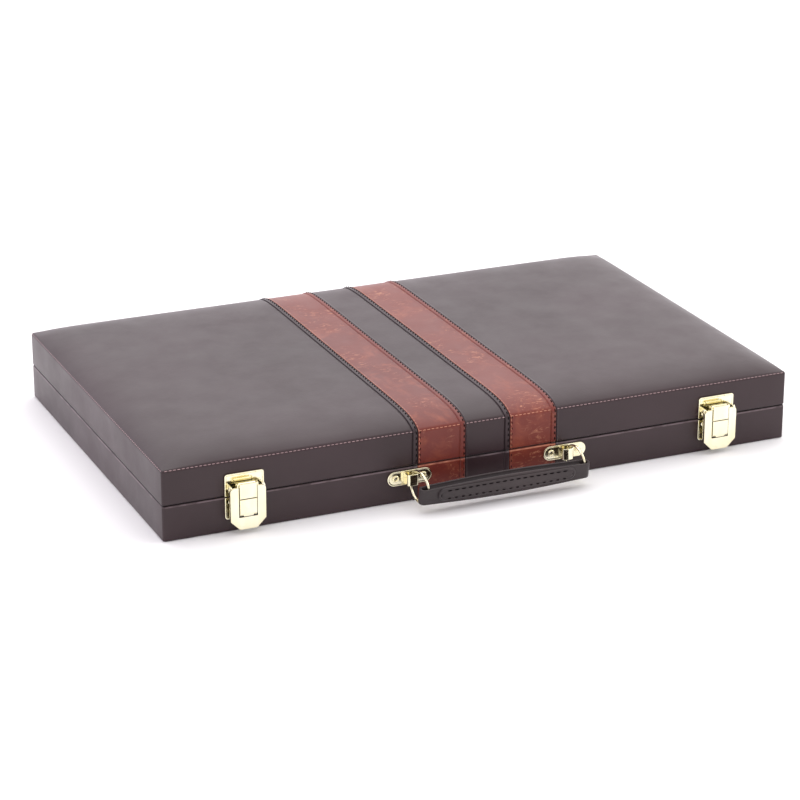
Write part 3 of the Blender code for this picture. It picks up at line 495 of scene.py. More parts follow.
for body, profile in (("lid", LID_PROFILE), ("base", BASE_PROFILE)):
    seams = panel_edges(f"{body}_cover_left")[1], panel_edges(f"{body}_cover_right")[0]
    for (hand, word), seam, kind in zip(SIDES, seams, ("fold", "low")):
        grid = corner_panel(profile, seam, kind, hand, body == "lid")
        sheet_piece(f"{body}_cover_{word}_skin", [grid], "brown", body, f"{body}_cover_{word}")
for word in ("cover_middle", "stripe_left", "stripe_right"):
    finish = "brown" if word == "cover_middle" else "rust"
    wrapped_panel("lid", "lid_" + word, finish)
    wrapped_panel("base", "base_" + word, finish, sides=(-1,))
    back_run = cross_panel(BASE_PROFILE, *panel_edges("base_" + word), 1, False)
    sheet_piece(f"base_back_{word}_skin", [back_run], finish, "base", "base_cover_back")

# %% [markdown]
# ## The foam pad
#
# The pad that crowns the lid is a sheet of foam between the board and the covering. It is the same
# height field as the covering, one sheet thickness lower, over a flat bottom.

# %% Foam pad
foam_low, foam_high = node_box("lid_foam")


def close_at_ends(low, high, steps):
    """Places from low to high, 1 mm apart over the first and last 4 mm."""
    span = high - low
    return low + np.concatenate([np.linspace(0, 4, 5)[:-1], np.linspace(4, span - 4, steps),
                                 span - np.linspace(4, 0, 5)[1:]])


def foam_pad():
    """Top z = EDGE_Z + crown(x, y) - sheet - 0.15 mm, dropping by a quarter ellipse over its last 3 mm."""
    x, y = np.meshgrid(close_at_ends(foam_low[0], foam_high[0], 30),
                       close_at_ends(foam_low[1], foam_high[1], 20), indexing="ij")
    edge = np.minimum(np.minimum(x - foam_low[0], foam_high[0] - x),
                      np.minimum(y - foam_low[1], foam_high[1] - y))
    full = EDGE_Z + crown(x, y) - SHEET - 0.15 - foam_low[2]
    drop = np.sqrt(np.clip(1 - (1 - np.clip(edge, 0, 3) / 3) ** 2, 0, 1))
    return [np.stack([x, y, foam_low[2] + full * share], axis=2)
            for share in (0.25 + 0.75 * drop, np.zeros_like(x))]


top, bottom = foam_pad()
rows, columns, _ = top.shape
index = np.arange(rows * columns).reshape(rows, columns)
rim = np.concatenate([index[0], index[1:, -1], index[-1, -2::-1], index[-2:0:-1, 0]])
wall = np.stack([rim, np.roll(rim, -1), index.size + np.roll(rim, -1), index.size + rim], axis=1).tolist()
foam = piece("lid_foam_pad", np.concatenate([top, bottom]),
             quads(rows, columns) + quads(rows, columns, start=index.size) + wall, "foam", "lid")
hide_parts("lid_foam")
print(f"foam pad {top[..., 2].max() - foam_low[2]:.1f} mm thick in the middle")

# %% [markdown]
# ## Stitches
#
# A lockstitch shows as short spindles of thread that dive into the leather at both ends. All the
# stitches of a seam are one piece, worked out together: a spindle's radius is
# w/2 sqrt(1 - s^2), and its middle line rises as (1 - s^2). A path is walked at the stitch length.


# %% Stitches along a path
def walk(path, pitch):
    """Places every pitch along a polyline, and the direction there."""
    step = np.diff(path, axis=0)
    far = np.concatenate([[0], np.cumsum(np.linalg.norm(step, axis=1))])
    count = max(1, int(far[-1] / pitch))
    at = (np.arange(count) + 0.5) * far[-1] / count
    centres, ahead, behind = (np.stack([np.interp(at + shift, far, path[:, k]) for k in range(3)], axis=1)
                              for shift in (0.0, 0.4, -0.4))
    along = ahead - behind
    return centres, along / np.linalg.norm(along, axis=1, keepdims=True), at, far


def stitches(name, path, out, finish, body, pitch, length, width, rise=0.12):
    """Spindles at c + s L/2 t + (w/2 sqrt(1 - s^2)) (cos a b + sin a n) + rise (1 - s^2) n - sink."""
    centres, along, at, far = walk(path, pitch)
    normal = np.stack([np.interp(at, far, np.broadcast_to(out, path.shape)[:, k]) for k in range(3)], axis=1)
    normal -= (normal * along).sum(axis=1, keepdims=True) * along
    normal /= np.linalg.norm(normal, axis=1, keepdims=True)
    s = np.array([-1, -0.86, -0.45, 0.0, 0.45, 0.86, 1])[None, :, None, None]
    a = np.radians(np.arange(0, 360, 60) + 30)[None, None, :, None]
    radius = width / 2 * np.sqrt(np.clip(1 - s ** 2, 0.05, 1))
    c, t, n, b = (v[:, None, None, :] for v in (centres, along, normal, np.cross(along, normal)))
    points = c + s * length / 2 * t + radius * (np.cos(a) * b + np.sin(a) * n)
    points = points + n * (rise * (1 - s ** 2) - 0.45 * width * s ** 4)
    rings, sides = s.size, a.size
    block = quads(rings, sides, loop_columns=True)
    block += [list(range(sides)), list(range(rings * sides - 1, (rings - 1) * sides - 1, -1))]
    faces = [[corner + rings * sides * k for corner in face] for k in range(len(centres)) for face in block]
    piece(name, points, faces, finish, body, smooth=60)
    return len(centres)


# %% Rows over the lid and down the base, beside the stripes
def over_the_lid(x, lift, front_only=False):
    """The line of the lid's covering at one x, from the front rim over the top to the back rim,
    and its outward directions."""
    rows = LID_PROFILE[2:]
    runs = []
    for side in (-1, 1):
        y = side * (HALF_DEPTH - rows[:, 0])
        z = crowned(rows[:, 1], x, y, rows[:, 3])
        out = np.stack([np.zeros_like(y), side * rows[:, 2], rows[:, 3]], axis=1)
        runs.append(np.hstack([np.stack([np.full_like(y, x), y, z], axis=1) + lift * out, out]))
    front, back = runs
    if front_only:
        painted_shade = front[rows[:, 0] < TOP_ROUND][4:]
    else:
        painted_shade = np.concatenate([front, back[-2::-1]])[4:-4]
    return painted_shade[:, :3], painted_shade[:, 3:]


SEAMS = {word: panel_edges(f"lid_{word}") for word in ("stripe_left", "stripe_right")}
total = 0
for word, (left, right) in SEAMS.items():
    for row_name, x, lift, front_only, thread, pitch, length, width in (
            ("left_seam", left - 1.3, 0.55, False, "dark_thread_and_shade", 4.0, 2.6, 0.75),
            ("right_seam", right - 0.9, 0.55, False, "dark_thread_and_shade", 4.0, 2.6, 0.75),
            ("left_edge", left + 0.9, 0.12, False, "rust_thread", 3.1, 2.7, 0.4),
            ("front_left", left + 1.7, 0.0, True, "dark_thread_and_shade", 3.6, 2.2, 0.5)):
        path, out = over_the_lid(x, lift, front_only)
        total += stitches(f"lid_{word}_{row_name}_stitches", path, out, thread, "lid", pitch, length, width)
    for side, x, lift in (("left", left + 1.5, 0.0), ("right", right - 0.9, 0.55)):
        path = np.array([[x, -HALF_DEPTH - lift, BASE_RIM - 1.6], [x, -HALF_DEPTH - lift, 1.6]])
        total += stitches(f"base_{word}_{side}_stitches", path, (0, -1, 0), "dark_thread_and_shade", "base",
                          3.6, 2.2, 0.5)
print("stitches along the stripes:", total)

# %% Rows along the lid's top edge, in the colour of each panel
EDGE_REACH = TOP_ROUND * (1 - math.sqrt(0.5))


def seam_lift(x):
    """The folds of the panels, where a row of stitches crosses them."""
    return sum(0.3 * ((x > seam - 3.2) & (x < seam)) for edges in SEAMS.values() for seam in edges)


def edge_rows():
    """Each row's name, path, outward direction and thread, on the middle of the rounded edge."""
    cuts = [1.5 - HALF_WIDTH, *SEAMS["stripe_left"], *SEAMS["stripe_right"], HALF_WIDTH - 1.5]
    for side, word in ((-1, "front"), (1, "back")):
        for k in range(5):
            x = np.linspace(cuts[k] + 0.3, cuts[k + 1] - 0.3, 40)
            y = np.full_like(x, side * (HALF_DEPTH - EDGE_REACH))
            path = np.stack([x, y, EDGE_Z - EDGE_REACH + 0.1 + seam_lift(x)], axis=1)
            yield (f"lid_{word}_edge_stitches_{k}", path, (0, side, 1),
                   "rust_thread" if k % 2 else "pale_thread_and_highlight")
    for hand, word in SIDES:
        y = np.linspace(1.5 - HALF_DEPTH, HALF_DEPTH - 1.5, 40)
        x = np.full_like(y, hand * (HALF_WIDTH - EDGE_REACH))
        path = np.stack([x, y, np.full_like(y, EDGE_Z - EDGE_REACH)], axis=1)
        yield f"lid_{word}_edge_stitches", path, (hand, 0, 1), "pale_thread_and_highlight"


print("stitches along the top edge:", sum(stitches(*painted_shade, "lid", 2.9, 2.5, 0.42, rise=0.05)
                                          for painted_shade in edge_rows()))

# %% [markdown]
# ## Stamped parts
#
# The fittings are blanked from sheet and coined, so every edge is a little round. Such a part is a
# profile carried round its outline: ring k is the outline moved inwards by an inset, at a height.
# The move is along mitres, m = (n1 + n2) / (1 + n1 . n2), so that corners keep their shape.


# %% A profile carried round an outline
def arc_points(centre, radius, start, end, steps):
    angle = np.radians(np.linspace(start, end, steps))
    return np.stack([centre[0] + radius * np.cos(angle), centre[1] + radius * np.sin(angle)], axis=1)


def rounded_outline(corners, radii, steps=5):
    """A polygon, anticlockwise, whose corners are rounded by arcs tangent to both sides."""
    corners = np.array(corners, dtype=float)
    parts = []
    for here, before, after, radius in zip(corners, np.roll(corners, 1, 0), np.roll(corners, -1, 0), radii):
        u, v = before - here, after - here
        u, v = u / np.linalg.norm(u), v / np.linalg.norm(v)
        if radius == 0:
            parts.append(here[None])
            continue
        half = math.acos(np.clip(u @ v, -1, 1)) / 2
        middle = (u + v) / np.linalg.norm(u + v)
        convex = u[0] * v[1] - u[1] * v[0] < 0
        centre = here + middle * radius / math.sin(half)
        first = here + u * radius / math.tan(half) - centre
        start = math.degrees(math.atan2(first[1], first[0]))
        sweep = (180 - 2 * math.degrees(half)) * (1 if convex else -1)
        parts.append(arc_points(centre, radius, start, start + sweep, steps))
    return np.concatenate(parts)


def rectangle(width, height, radii, steps=5):
    """A rectangle centred on 0, with a radius for each corner, anticlockwise from the lower right."""
    x, y = width / 2, height / 2
    return rounded_outline([(x, -y), (x, y), (-x, y), (-x, -y)], radii, steps)


def bar_outline(length, height, radius=None, steps=7):
    """A bar centred on 0, with corners of a radius, or with round ends."""
    return rectangle(length, height, [height / 2 - 1e-3 if radius is None else radius] * 4, steps)


def disc(radius, sides):
    """A circle centred on 0, as a polygon."""
    return arc_points((0, 0), radius, 0, 360, sides + 1)[:-1]


def pressed(outline, profile):
    """Rings of the profile (inset, height) round an outline: outline + inset * mitre, at the height."""
    edge = np.roll(outline, -1, 0) - outline
    edge /= np.linalg.norm(edge, axis=1, keepdims=True)
    inward = np.stack([-edge[:, 1], edge[:, 0]], axis=1)
    before = np.roll(inward, 1, 0)
    mitre = (before + inward) / (1 + (before * inward).sum(axis=1, keepdims=True))
    profile = np.array(profile, dtype=float)
    flat = outline[None] + profile[:, :1, None] * mitre[None]
    height = np.broadcast_to(profile[:, 1:2, None], (*flat.shape[:2], 1))
    return np.concatenate([flat, height], axis=2)


def placed(points, origin, across, up, out):
    """Points (a, b, c) as origin + a across + b up + c out."""
    return np.array(origin) + points @ np.array([across, up, out], dtype=float)


FRONT = ((1, 0, 0), (0, 0, 1), (0, -1, 0))
BACK = ((-1, 0, 0), (0, 0, 1), (0, 1, 0))
END = ((0, 1, 0), (0, 0, 1), (1, 0, 0))
ABOVE = ((1, 0, 0), (0, 1, 0), (0, 0, 1))
BELOW = ((1, 0, 0), (0, -1, 0), (0, 0, -1))


def tube(name, rings, finish, body, node, smooth):
    """A closed piece: the faces between rings of points, and one over the first ring and the last."""
    rows, columns = rings.shape[:2]
    faces = quads(rows, columns, loop_columns=True)
    faces += [list(range(columns))[::-1], list(range((rows - 1) * columns, rows * columns))]
    item = piece(name, rings, faces, finish, body, smooth=smooth)
    if node:
        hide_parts(node)


def stamping(name, outline, profile, origin, axes, finish, body, node=None, smooth=32):
    """A closed stamped piece: a profile (inset, height) carried round an outline."""
    tube(name, placed(pressed(outline, profile), origin, *axes), finish, body, node, smooth)


# %% Profiles of the stampings
def sheet_profile(thickness, edge=0.25):
    """A sheet whose edges are rounded on both faces."""
    k = edge * (1 - math.sqrt(0.5))
    return [(edge, 0), (k, k), (0, edge), (0, thickness - edge), (k, thickness - k), (edge, thickness)]


def rimmed_profile(thickness, rim=1.0, step=0.22):
    """A sheet with a raised rim round its front face: round edge, rim, then a step down."""
    lower = thickness - step
    return [(0.2, 0), (0, 0.2), (0, thickness - 0.3), (0.09, thickness - 0.09), (0.3, thickness),
            (rim - 0.2, thickness), (rim, thickness - 0.06), (rim + 0.18, lower), (rim + 0.5, lower)]

def rivet_profile(radius, height):
    """A low dome: height (1 - (r/R)^2) from the rim to the middle, seven rings."""
    r = np.array([1, 0.97, 0.88, 0.72, 0.5, 0.26, 0.08])
    return [(radius * 0.02, -0.2)] + [(radius * (1 - k), height * (1 - k * k) + 0.05) for k in r]


print("rings in a sheet's profile:", len(sheet_profile(1.0)), "in a rimmed one:", len(rimmed_profile(1.0)))

# %% [markdown]
# ## Bent strips, and painted shade beside the folds
#
# A strip of sheet that is bent has the same cross-section all along a path. The first ones are painted
# shade: where a brown panel is folded under at a stripe, the leather beside the fold and at the seam is
# in shade, and thin dark strips laid along the covering's line paint that shade.


# %% A rounded cross-section carried along a path
def bent_strip(name, path, width, thickness, origin, axes, finish, body, node=None, edge=0.2):
    """Points path + t n + w across, where (w, t) runs round a rectangle with cut corners.

    The path lies in the plane of the first two axes, and the width is along the third.
    """
    path = np.array(path, dtype=float)
    ahead = np.gradient(path, axis=0)
    ahead /= np.linalg.norm(ahead, axis=1, keepdims=True)
    normal = np.stack([-ahead[:, 1], ahead[:, 0]], axis=1)
    w, t, e = width / 2, thickness / 2, min(edge, thickness * 0.45)
    section = np.array([(w - e, -t), (w, -t + e), (w, t - e), (w - e, t),
                        (-w + e, t), (-w, t - e), (-w, -t + e), (-w + e, -t)])
    spot = path[:, None, :] + section[None, :, 1:2] * normal[:, None, :]
    across = np.broadcast_to(section[None, :, :1], (*spot.shape[:2], 1))
    rings = placed(np.concatenate([spot, across], axis=2), origin, *axes)
    tube(name, rings, finish, body, node, 35)


# Painted shade: a dark strip 3.35 mm inside each fold and one at each seam, in the dark thread's finish.
for word, (seam, _) in SEAMS.items():
    for name, inwards, width, lift in (("fold", 3.35, 0.8, 0.02), ("seam", 0.15, 0.55, 0.2)):
        path = over_the_lid(seam - inwards, lift)[0][:, 1:]
        bent_strip(f"lid_{word}_{name}_shade_strip", path, width, 0.35, (seam - inwards, 0, 0), END,
                   "dark_thread_and_shade", "lid")

# %% [markdown]
# ## The draw latches
#
# Each latch is six stampings. A plate on the lid has two ears; the lever turns between them on two
# pivots; the claw hangs from its own pin a little higher and hooks under a ledge on the base's
# catch. Swinging the lever out and up lifts the claw off the ledge. The claw is a bent strip with
# two coined blocks on its front; a dark strip where they meet, and one under the lower block, are
# painted shade in the gaps.

# %% Plates, ears and rivets
LATCH_SHEET = 1.0
LATCH_BACK = -HALF_DEPTH - 0.3
SLOT_HALF = 6.35


def latch_plates(latch, x, pivot):
    """The lid's plate and its two ears, the base's catch plate, and two rivets in each."""
    for name, body, radii in (("plate", "lid", [0, 1.9, 1.9, 0]), ("catch", "base", [1.9, 0, 0, 1.9])):
        low, high = node_box(latch + name)
        stamping(f"{latch}{name}_stamped", rectangle(high[0] - low[0], high[2] - low[2], radii, 6),
                 rimmed_profile(LATCH_SHEET, 1.1), (x, LATCH_BACK, (low[2] + high[2]) / 2), FRONT,
                 "brass", body, latch + name)
    root = LATCH_BACK - LATCH_SHEET * 0.6 - pivot[0]
    ear = np.concatenate([[(root, -1.8), (root, 1.8)], arc_points((0, 0), 1.8, 90, 270, 11)])
    for side, which in SIDES:
        stamping(f"{latch}ear_{which}", ear, sheet_profile(0.9, 0.2),
                 (x + side * 10.8 - 0.45, *pivot), END, "brass", "lid")
        for z, body in ((28.0, "lid"), (20.5, "base")):
            stamping(f"{latch}{body}_rivet_{which}", disc(1.7, 20), rivet_profile(1.7, 0.7),
                     (x + side * 9.4, LATCH_BACK - LATCH_SHEET + 0.25, z), FRONT, "brass", body)


# %% The lever: a slotted front with a dark sheet of painted shade in its slot, two flanges on the pivots and two lugs on the bolt
def latch_lever(latch, body, x, pivot, bolt):
    low, high = node_box(latch + "lever")
    face_y, foot, arm, toe = low[1], low[2], high[2] - 1.9, 6.3
    half = (high[0] - low[0]) / 2
    slot, slot_foot = SLOT_HALF, node_box(latch + "claw")[0][2] - 0.4
    outline = rounded_outline(
        [(half - toe, foot), (half, foot + toe), (half, arm), (slot, arm), (slot, slot_foot),
         (-slot, slot_foot), (-slot, arm), (-half, arm), (-half, foot + toe), (-half + toe, foot)],
        [0, 0, 2.8, 0, 0, 0, 0, 2.8, 0, 0], 7)
    coined = [(0.25, 0), (0, 0.2), (0, 0.6), (0.08, 0.82), (0.3, 0.97), (0.6, 1.0), (1.0, 1.0)]
    stamping(latch + "lever_stamped", outline, coined, (x, face_y + 0.98, 0), FRONT, "brass", body,
             latch + "lever")
    # Painted shade: a dark sheet behind the slot, seen as dark lines in the gaps round the claw.
    thin = slot - 0.4
    slot_shade_outline = np.array([(thin, arm), (slot, arm), (slot, slot_foot), (-slot, slot_foot), (-slot, arm),
                       (-thin, arm), (-thin, slot_foot + 0.4), (thin, slot_foot + 0.4)])
    stamping(latch + "slot_painted_shade", slot_shade_outline, sheet_profile(0.6, 0.05), (x, face_y + 0.9, 0), FRONT,
             "edge_paint_and_shade", body)
    front, bolt_front = face_y + 0.5 - pivot[0], face_y + 0.5 - bolt[0]
    flange = np.concatenate([[(front, foot + toe - pivot[1]), (front + 2.5, foot + toe - pivot[1]),
                              (front + 2.5, -3.4)], arc_points((0, 0), 1.8, -60, 90, 9), [(front, -1.4)]])
    lug = np.concatenate([[(bolt_front, -1.4)], arc_points((0, 0), 1.4, -90, 90, 9), [(bolt_front, 1.4)]])
    for side, which in SIDES:
        for name, shape, offset, axle in (("flange", flange, half, pivot), ("lug", lug, slot + 1.0, bolt)):
            stamping(f"{latch}{name}_{which}", shape, sheet_profile(0.9, 0.2),
                     (x + side * (offset - 0.5) - 0.45, *axle), END, "brass", body)


# %% The claw: a strip curled round its bolt, blocks, dark strips of painted shade, a tab, and the ledge it hooks under
def latch_claw(latch, body, x, bolt):
    low, high = node_box(latch + "claw")
    front, hook = low[1] + 0.45, low[2] + 0.6
    seam = (BASE_RIM + LID_RIM) / 2
    path = np.concatenate([[(high[1], hook)], [(front + 1.4, hook)],
                           arc_points((front + 0.75, hook + 0.75), 0.75, 270, 180, 5),
                           [(front, hook + 6), (front, bolt[1] - 3), (front, bolt[1] - 1.5)],
                           arc_points(bolt, 1.25, 200, -95, 15)])
    bent_strip(latch + "claw_bent", path, 11.8, 0.85, (x, 0, 0), END, "brass", body, latch + "claw")
    block = [(0.1, 0), (0, 0.15), (0, 0.75), (0.1, 0.95), (0.3, 1.07), (0.55, 1.1), (0.9, 1.1)]
    for name, bottom, top in (("upper", seam + 0.05, bolt[1] + 1.7), ("lower", low[2] + 1.5, seam - 0.35)):
        stamping(f"{latch}claw_{name}_block", rectangle(11.8, top - bottom, [0] * 4), block,
                 (x, front + 0.1, (bottom + top) / 2), FRONT, "brass", body)
    # Painted shade: dark strips in the gap where the blocks meet and under the lower block.
    for name, width, tall, depth, edge, z in (("fold", 11.2, 0.7, 0.75, 0.1, seam - 0.15),
                                              ("foot", 11.7, 0.5, 0.5, 0.08, low[2] + 1.25)):
        stamping(f"{latch}claw_{name}_line", bar_outline(width, tall, 0.1, 2), sheet_profile(depth, edge),
                 (x, front + 0.1, z), FRONT, "edge_paint_and_shade", body)
    tab = rounded_outline([(3.2, -0.9), (4.1, 0.9), (-4.1, 0.9), (-3.2, -0.9)], [0.3] * 4, 3)
    stamping(latch + "claw_tab", tab, sheet_profile(0.9, 0.25), (x, front + 0.2, low[2] + 1.0), FRONT,
             "brass", body)
    ledge = [(LATCH_BACK - LATCH_SHEET + 0.2, low[2] + 2.2), (low[1] + 1.6, low[2] + 2.2),
             (low[1] + 1.3, low[2] + 1.9)]
    bent_strip(latch + "ledge", ledge, 9.6, 0.9, (x, 0, 0), END, "brass", "base")


# %% Both latches, placed from their pins
def middle(node):
    return sum(node_box(node)) / 2


for _, word in SIDES:
    latch = f"latch_{word}_"
    x = middle(latch + "lever")[0]
    pivot, bolt = middle(latch + "pivot_left")[1:], middle(latch + "claw_pin")[1:]
    latch_plates(latch, x, pivot)
    latch_lever(latch, f"lever_{word}", x, pivot, bolt)
    latch_claw(latch, f"claw_{word}", x, bolt)

# %% [markdown]
# ## Loops, rings and the handle
#
# A loop is a plate with round ends, riveted to the base, with a bridge that stands off it. A wire
# ring runs through the bridge and through the fold at each end of the strap. The strap is one strip
# folded round both rings, so that it closes on itself, with a filler between its two layers. The
# whole handle leans out on its rings, so it is worked out straight and then placed along its own axes.

# %% Rings of wire
def ring(word, centre, radius, wire, u, v):
    """A torus: c + (R + r cos a)(cos t u + sin t v) + r sin a w, with 72 by 12 points."""
    t = np.radians(np.arange(0, 360, 5))[:, None, None]
    a = np.radians(np.arange(0, 360, 30))[None, :, None]
    points = centre + (radius + wire * np.cos(a)) * (np.cos(t) * u + np.sin(t) * v)
    points = points + wire * np.sin(a) * np.cross(u, v)
    item = piece(f"handle_ring_{word}_wire", points, quads(72, 12, True, True), "steel", "handle", smooth=60)
    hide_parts(f"handle_ring_{word}")


STRAP_MIDDLE = middle("handle_strap")
lean = middle("handle_grip") - STRAP_MIDDLE
DROOP = math.atan2(-lean[2], -lean[1])
OUT = np.array([0, -math.cos(DROOP), -math.sin(DROOP)])
UP = np.array([0, -math.sin(DROOP), math.cos(DROOP)])
HANDLE = ((1, 0, 0), UP, OUT)
WIRE = 0.9
low, high = node_box("handle_ring_left")
half_x, half_z = (high[0] - low[0]) / 2 - WIRE, (high[2] - low[2]) / 2 - WIRE
RING_RADIUS = round(math.hypot(half_z, half_x * math.sin(DROOP)), 1)
YAW = math.asin(half_x / RING_RADIUS)
for _, word in SIDES:
    across = np.array([math.sin(YAW), 0, 0]) + math.cos(YAW) * OUT
    ring(word, middle(f"handle_ring_{word}"), RING_RADIUS, WIRE, across, UP)
print(f"rings of {RING_RADIUS:.1f} mm, turned {math.degrees(YAW):.0f} degrees, drooping",
      f"{math.degrees(DROOP):.0f} degrees")


# %% Loops with hollow rivets
def loop(word, outwards):
    """A rimmed plate, a bridge bent up from it, and two rolled rivets; outwards is -1 on the left."""
    node = f"handle_loop_{word}"
    low, high = node_box(node)
    back_y = high[1]
    place = ((low[0] + high[0]) / 2, back_y, (low[2] + high[2]) / 2)
    stamping(node + "_plate", bar_outline(high[0] - low[0], high[2] - low[2], steps=13),
             rimmed_profile(1.0, 0.9, 0.16), place, FRONT, "brass", "base", node)
    out = back_y - low[1] - 0.5
    inner, bend = 3.6, 1.5
    path = np.concatenate([[(-inner - 0.3, 0.5), (-inner, 1.2)],
                           arc_points((-inner + bend, out - bend), bend, 180, 90, 6),
                           arc_points((inner - bend, out - bend), bend, 90, 0, 6),
                           [(inner, 1.2), (inner + 0.3, 0.5)]])
    bent_strip(node + "_bridge", path, 8.0, 1.0, place, ((1, 0, 0), (0, -1, 0), (0, 0, 1)), "brass",
               "base", edge=0.3)
    rolled = [(0.25, -0.3), (0, 0.05), (0, 0.35), (0.12, 0.65), (0.4, 0.82), (0.75, 0.8), (1.0, 0.6),
              (1.1, 0.3), (1.12, -0.25), (1.5, -0.3)]
    for side, which in ((outwards, "outer"), (-outwards, "inner")):
        rivet = f"handle_rivet_{word}_{which}"
        stamping(rivet + "_rolled", disc(2.3, 28), rolled, (place[0] + side * 9.9, back_y - 0.84, place[2]),
                 FRONT, "brass", "base", rivet, smooth=50)


for hand, word in SIDES:
    loop(word, hand)


# %% The folded strap
def strap_height(x, half_length):
    """11 mm at the folds, swelling as a cosine to 14.8 mm in the middle."""
    return 11.0 + 3.8 * np.cos(np.clip(x / half_length, -1, 1) * math.pi / 2)


def folded_strap():
    """A closed strip: its path is a stadium round both rings, its section a rounded rectangle.

    Path point (x, y), outward normal n: the section adds t n, and w times the strap's height.
    """
    low, high = node_box("handle_strap")
    fold, thick = 2.75, 1.5
    half = (high[0] - low[0]) / 2 - fold - thick / 2 - 0.3
    run = np.linspace(-half, half, 41)
    right = arc_points((half, 0), fold, -90, 90, 13)[1:-1]
    left = arc_points((-half, 0), fold, 90, 270, 13)[1:-1]
    path = np.concatenate([np.stack([run, np.full_like(run, -fold)], 1), right,
                           np.stack([run[::-1], np.full_like(run, fold)], 1), left])
    ahead = np.roll(path, -1, 0) - np.roll(path, 1, 0)
    normal = np.stack([ahead[:, 1], -ahead[:, 0]], 1)
    normal /= np.linalg.norm(normal, axis=1, keepdims=True)
    t, e = thick / 2, 0.45
    section = np.array([(0.5, 0), (0.5, t - e), (0.485, t - 0.12), (0.455, t), (0.2, t), (-0.2, t),
                        (-0.455, t), (-0.485, t - 0.12), (-0.5, t - e), (-0.5, -t + 0.15), (-0.485, -t),
                        (0.485, -t), (0.5, -t + 0.15)])
    flat = path[:, None, :] + section[None, :, 1:2] * normal[:, None, :]
    tall = section[None, :, :1] * strap_height(path[:, :1], half)[:, None, :]
    points = np.concatenate([flat[..., :1], tall, -flat[..., 1:2]], axis=2)
    item = piece("handle_strap_folded", placed(points, STRAP_MIDDLE, *HANDLE),
                 quads(len(path), len(section), True, True), "handle", "handle", smooth=60)
    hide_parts("handle_strap")
    return half


# %% A filler between its layers
STRAP_HALF = folded_strap()
x = np.linspace(4 - STRAP_HALF, STRAP_HALF - 4, 30)
edge = strap_height(x, STRAP_HALF) / 2 - 0.5
filler = np.concatenate([np.stack([x, -edge], 1), np.stack([x, edge], 1)[::-1]])
stamping("handle_filler", filler, sheet_profile(3.9, 0.25), STRAP_MIDDLE - 1.95 * OUT, HANDLE,
         "edge_paint_and_shade", "handle")
print(f"strap of {2 * STRAP_HALF:.0f} mm between its folds")

# %% The grip pad
grip_low, grip_high = node_box("handle_grip")
GRIP_LENGTH = grip_high[0] - grip_low[0]
GRIP_MIDDLE = STRAP_MIDDLE + np.array([middle("handle_grip")[0] - STRAP_MIDDLE[0], 0, 0]) + 0.9 * UP
PAD_BACK = 3.3


def pad_height(x):
    """Half the pad's height: 4.5 mm at its ends, swelling as a cosine to 4.9 mm."""
    return 4.5 + 0.4 * np.cos(np.clip(x / (GRIP_LENGTH / 2), -1, 1) * math.pi / 2)


def lens_outline(length, height_at, steps=24):
    """A bar whose half height is height_at(x), with half-round ends."""
    end = height_at(length / 2)
    x = np.linspace(-length / 2 + end, length / 2 - end, steps)
    lower = np.stack([x, -height_at(x)], 1)
    radius = float(height_at(length / 2 - end))
    right = arc_points((length / 2 - end, 0), radius, -90, 90, 12)[1:-1]
    left = arc_points((-length / 2 + end, 0), radius, 90, 270, 12)[1:-1]
    return np.concatenate([lower, right, lower[::-1] * (1, -1), left])


pad_profile = [(0.3, 0), (-0.05, 0.25), (0, 0.9), (0.15, 1.25), (0.45, 1.5), (0.9, 1.62), (1.35, 1.52),
               (1.65, 1.40), (1.95, 1.52), (2.4, 1.72), (3.0, 1.82), (3.8, 1.86)]
stamping("handle_grip_pad", lens_outline(GRIP_LENGTH, pad_height), pad_profile,
         GRIP_MIDDLE + PAD_BACK * OUT, HANDLE, "handle", "handle", "handle_grip", smooth=50)
print(f"grip of {GRIP_LENGTH:.0f} mm")

# %% Its stitches: two rows in the pad's groove, painted highlights on the lower row, and an arc at each end
GROOVE = 1.65
x = np.linspace(-GRIP_LENGTH / 2 + 5.5, GRIP_LENGTH / 2 - 5.5, 40)
made = 0
# Painted highlight: a short pale spindle in the middle of each stitch of the lower row.
for word, sign, thread, length in (("upper", 1, "dark_thread_and_shade", 3.9), ("lower", -1, "dark_thread_and_shade", 2.6),
                                   ("lower_holes", -1, "pale_thread_and_highlight", 0.9)):
    path = np.stack([x, sign * (pad_height(x) - GROOVE), np.full_like(x, PAD_BACK + 1.48)], 1)
    made += stitches(f"handle_{word}_stitches", placed(path, GRIP_MIDDLE, *HANDLE), OUT, thread, "handle",
                     4.9, length, 0.9, rise=0.25)
angle = np.radians(np.linspace(-62, 62, 20))
radius = float(pad_height(GRIP_LENGTH / 2)) - GROOVE
for side, word in SIDES:
    arc = np.stack([side * (GRIP_LENGTH / 2 - 5.0 + radius * np.cos(angle)), radius * np.sin(angle),
                    np.full_like(angle, PAD_BACK + 1.45)], 1)
    made += stitches(f"handle_end_stitches_{word}", placed(arc, GRIP_MIDDLE, *HANDLE), OUT, "dark_thread_and_shade",
                     "handle", 3.4, 2.6, 0.6, rise=0.1)
print("stitches on the grip:", made)

# %% [markdown]
# ## Inside: two lined trays
#
# Opened flat, the two halves are the playing board. Each has a field lined with flock, six points
# at each short end in rust and cream leatherette, a divider, and a trough for the checkers along
# the handle side. The points are thin applied triangles, so they are stamped shapes too.

# %% Field linings, points and covered bars
def bar_in_tray(name, node, body, radius, edge, finish):
    """A rounded bar over a node's whole box, pressed from the tray's floor up."""
    low, high = node_box(node)
    size, centre = high - low, (low + high) / 2
    stamping(name, bar_outline(size[0], size[1], radius, 4), sheet_profile(size[2], edge),
             (centre[0], centre[1], low[2] if body == "base" else high[2]), INSIDE[body], finish, body, node)


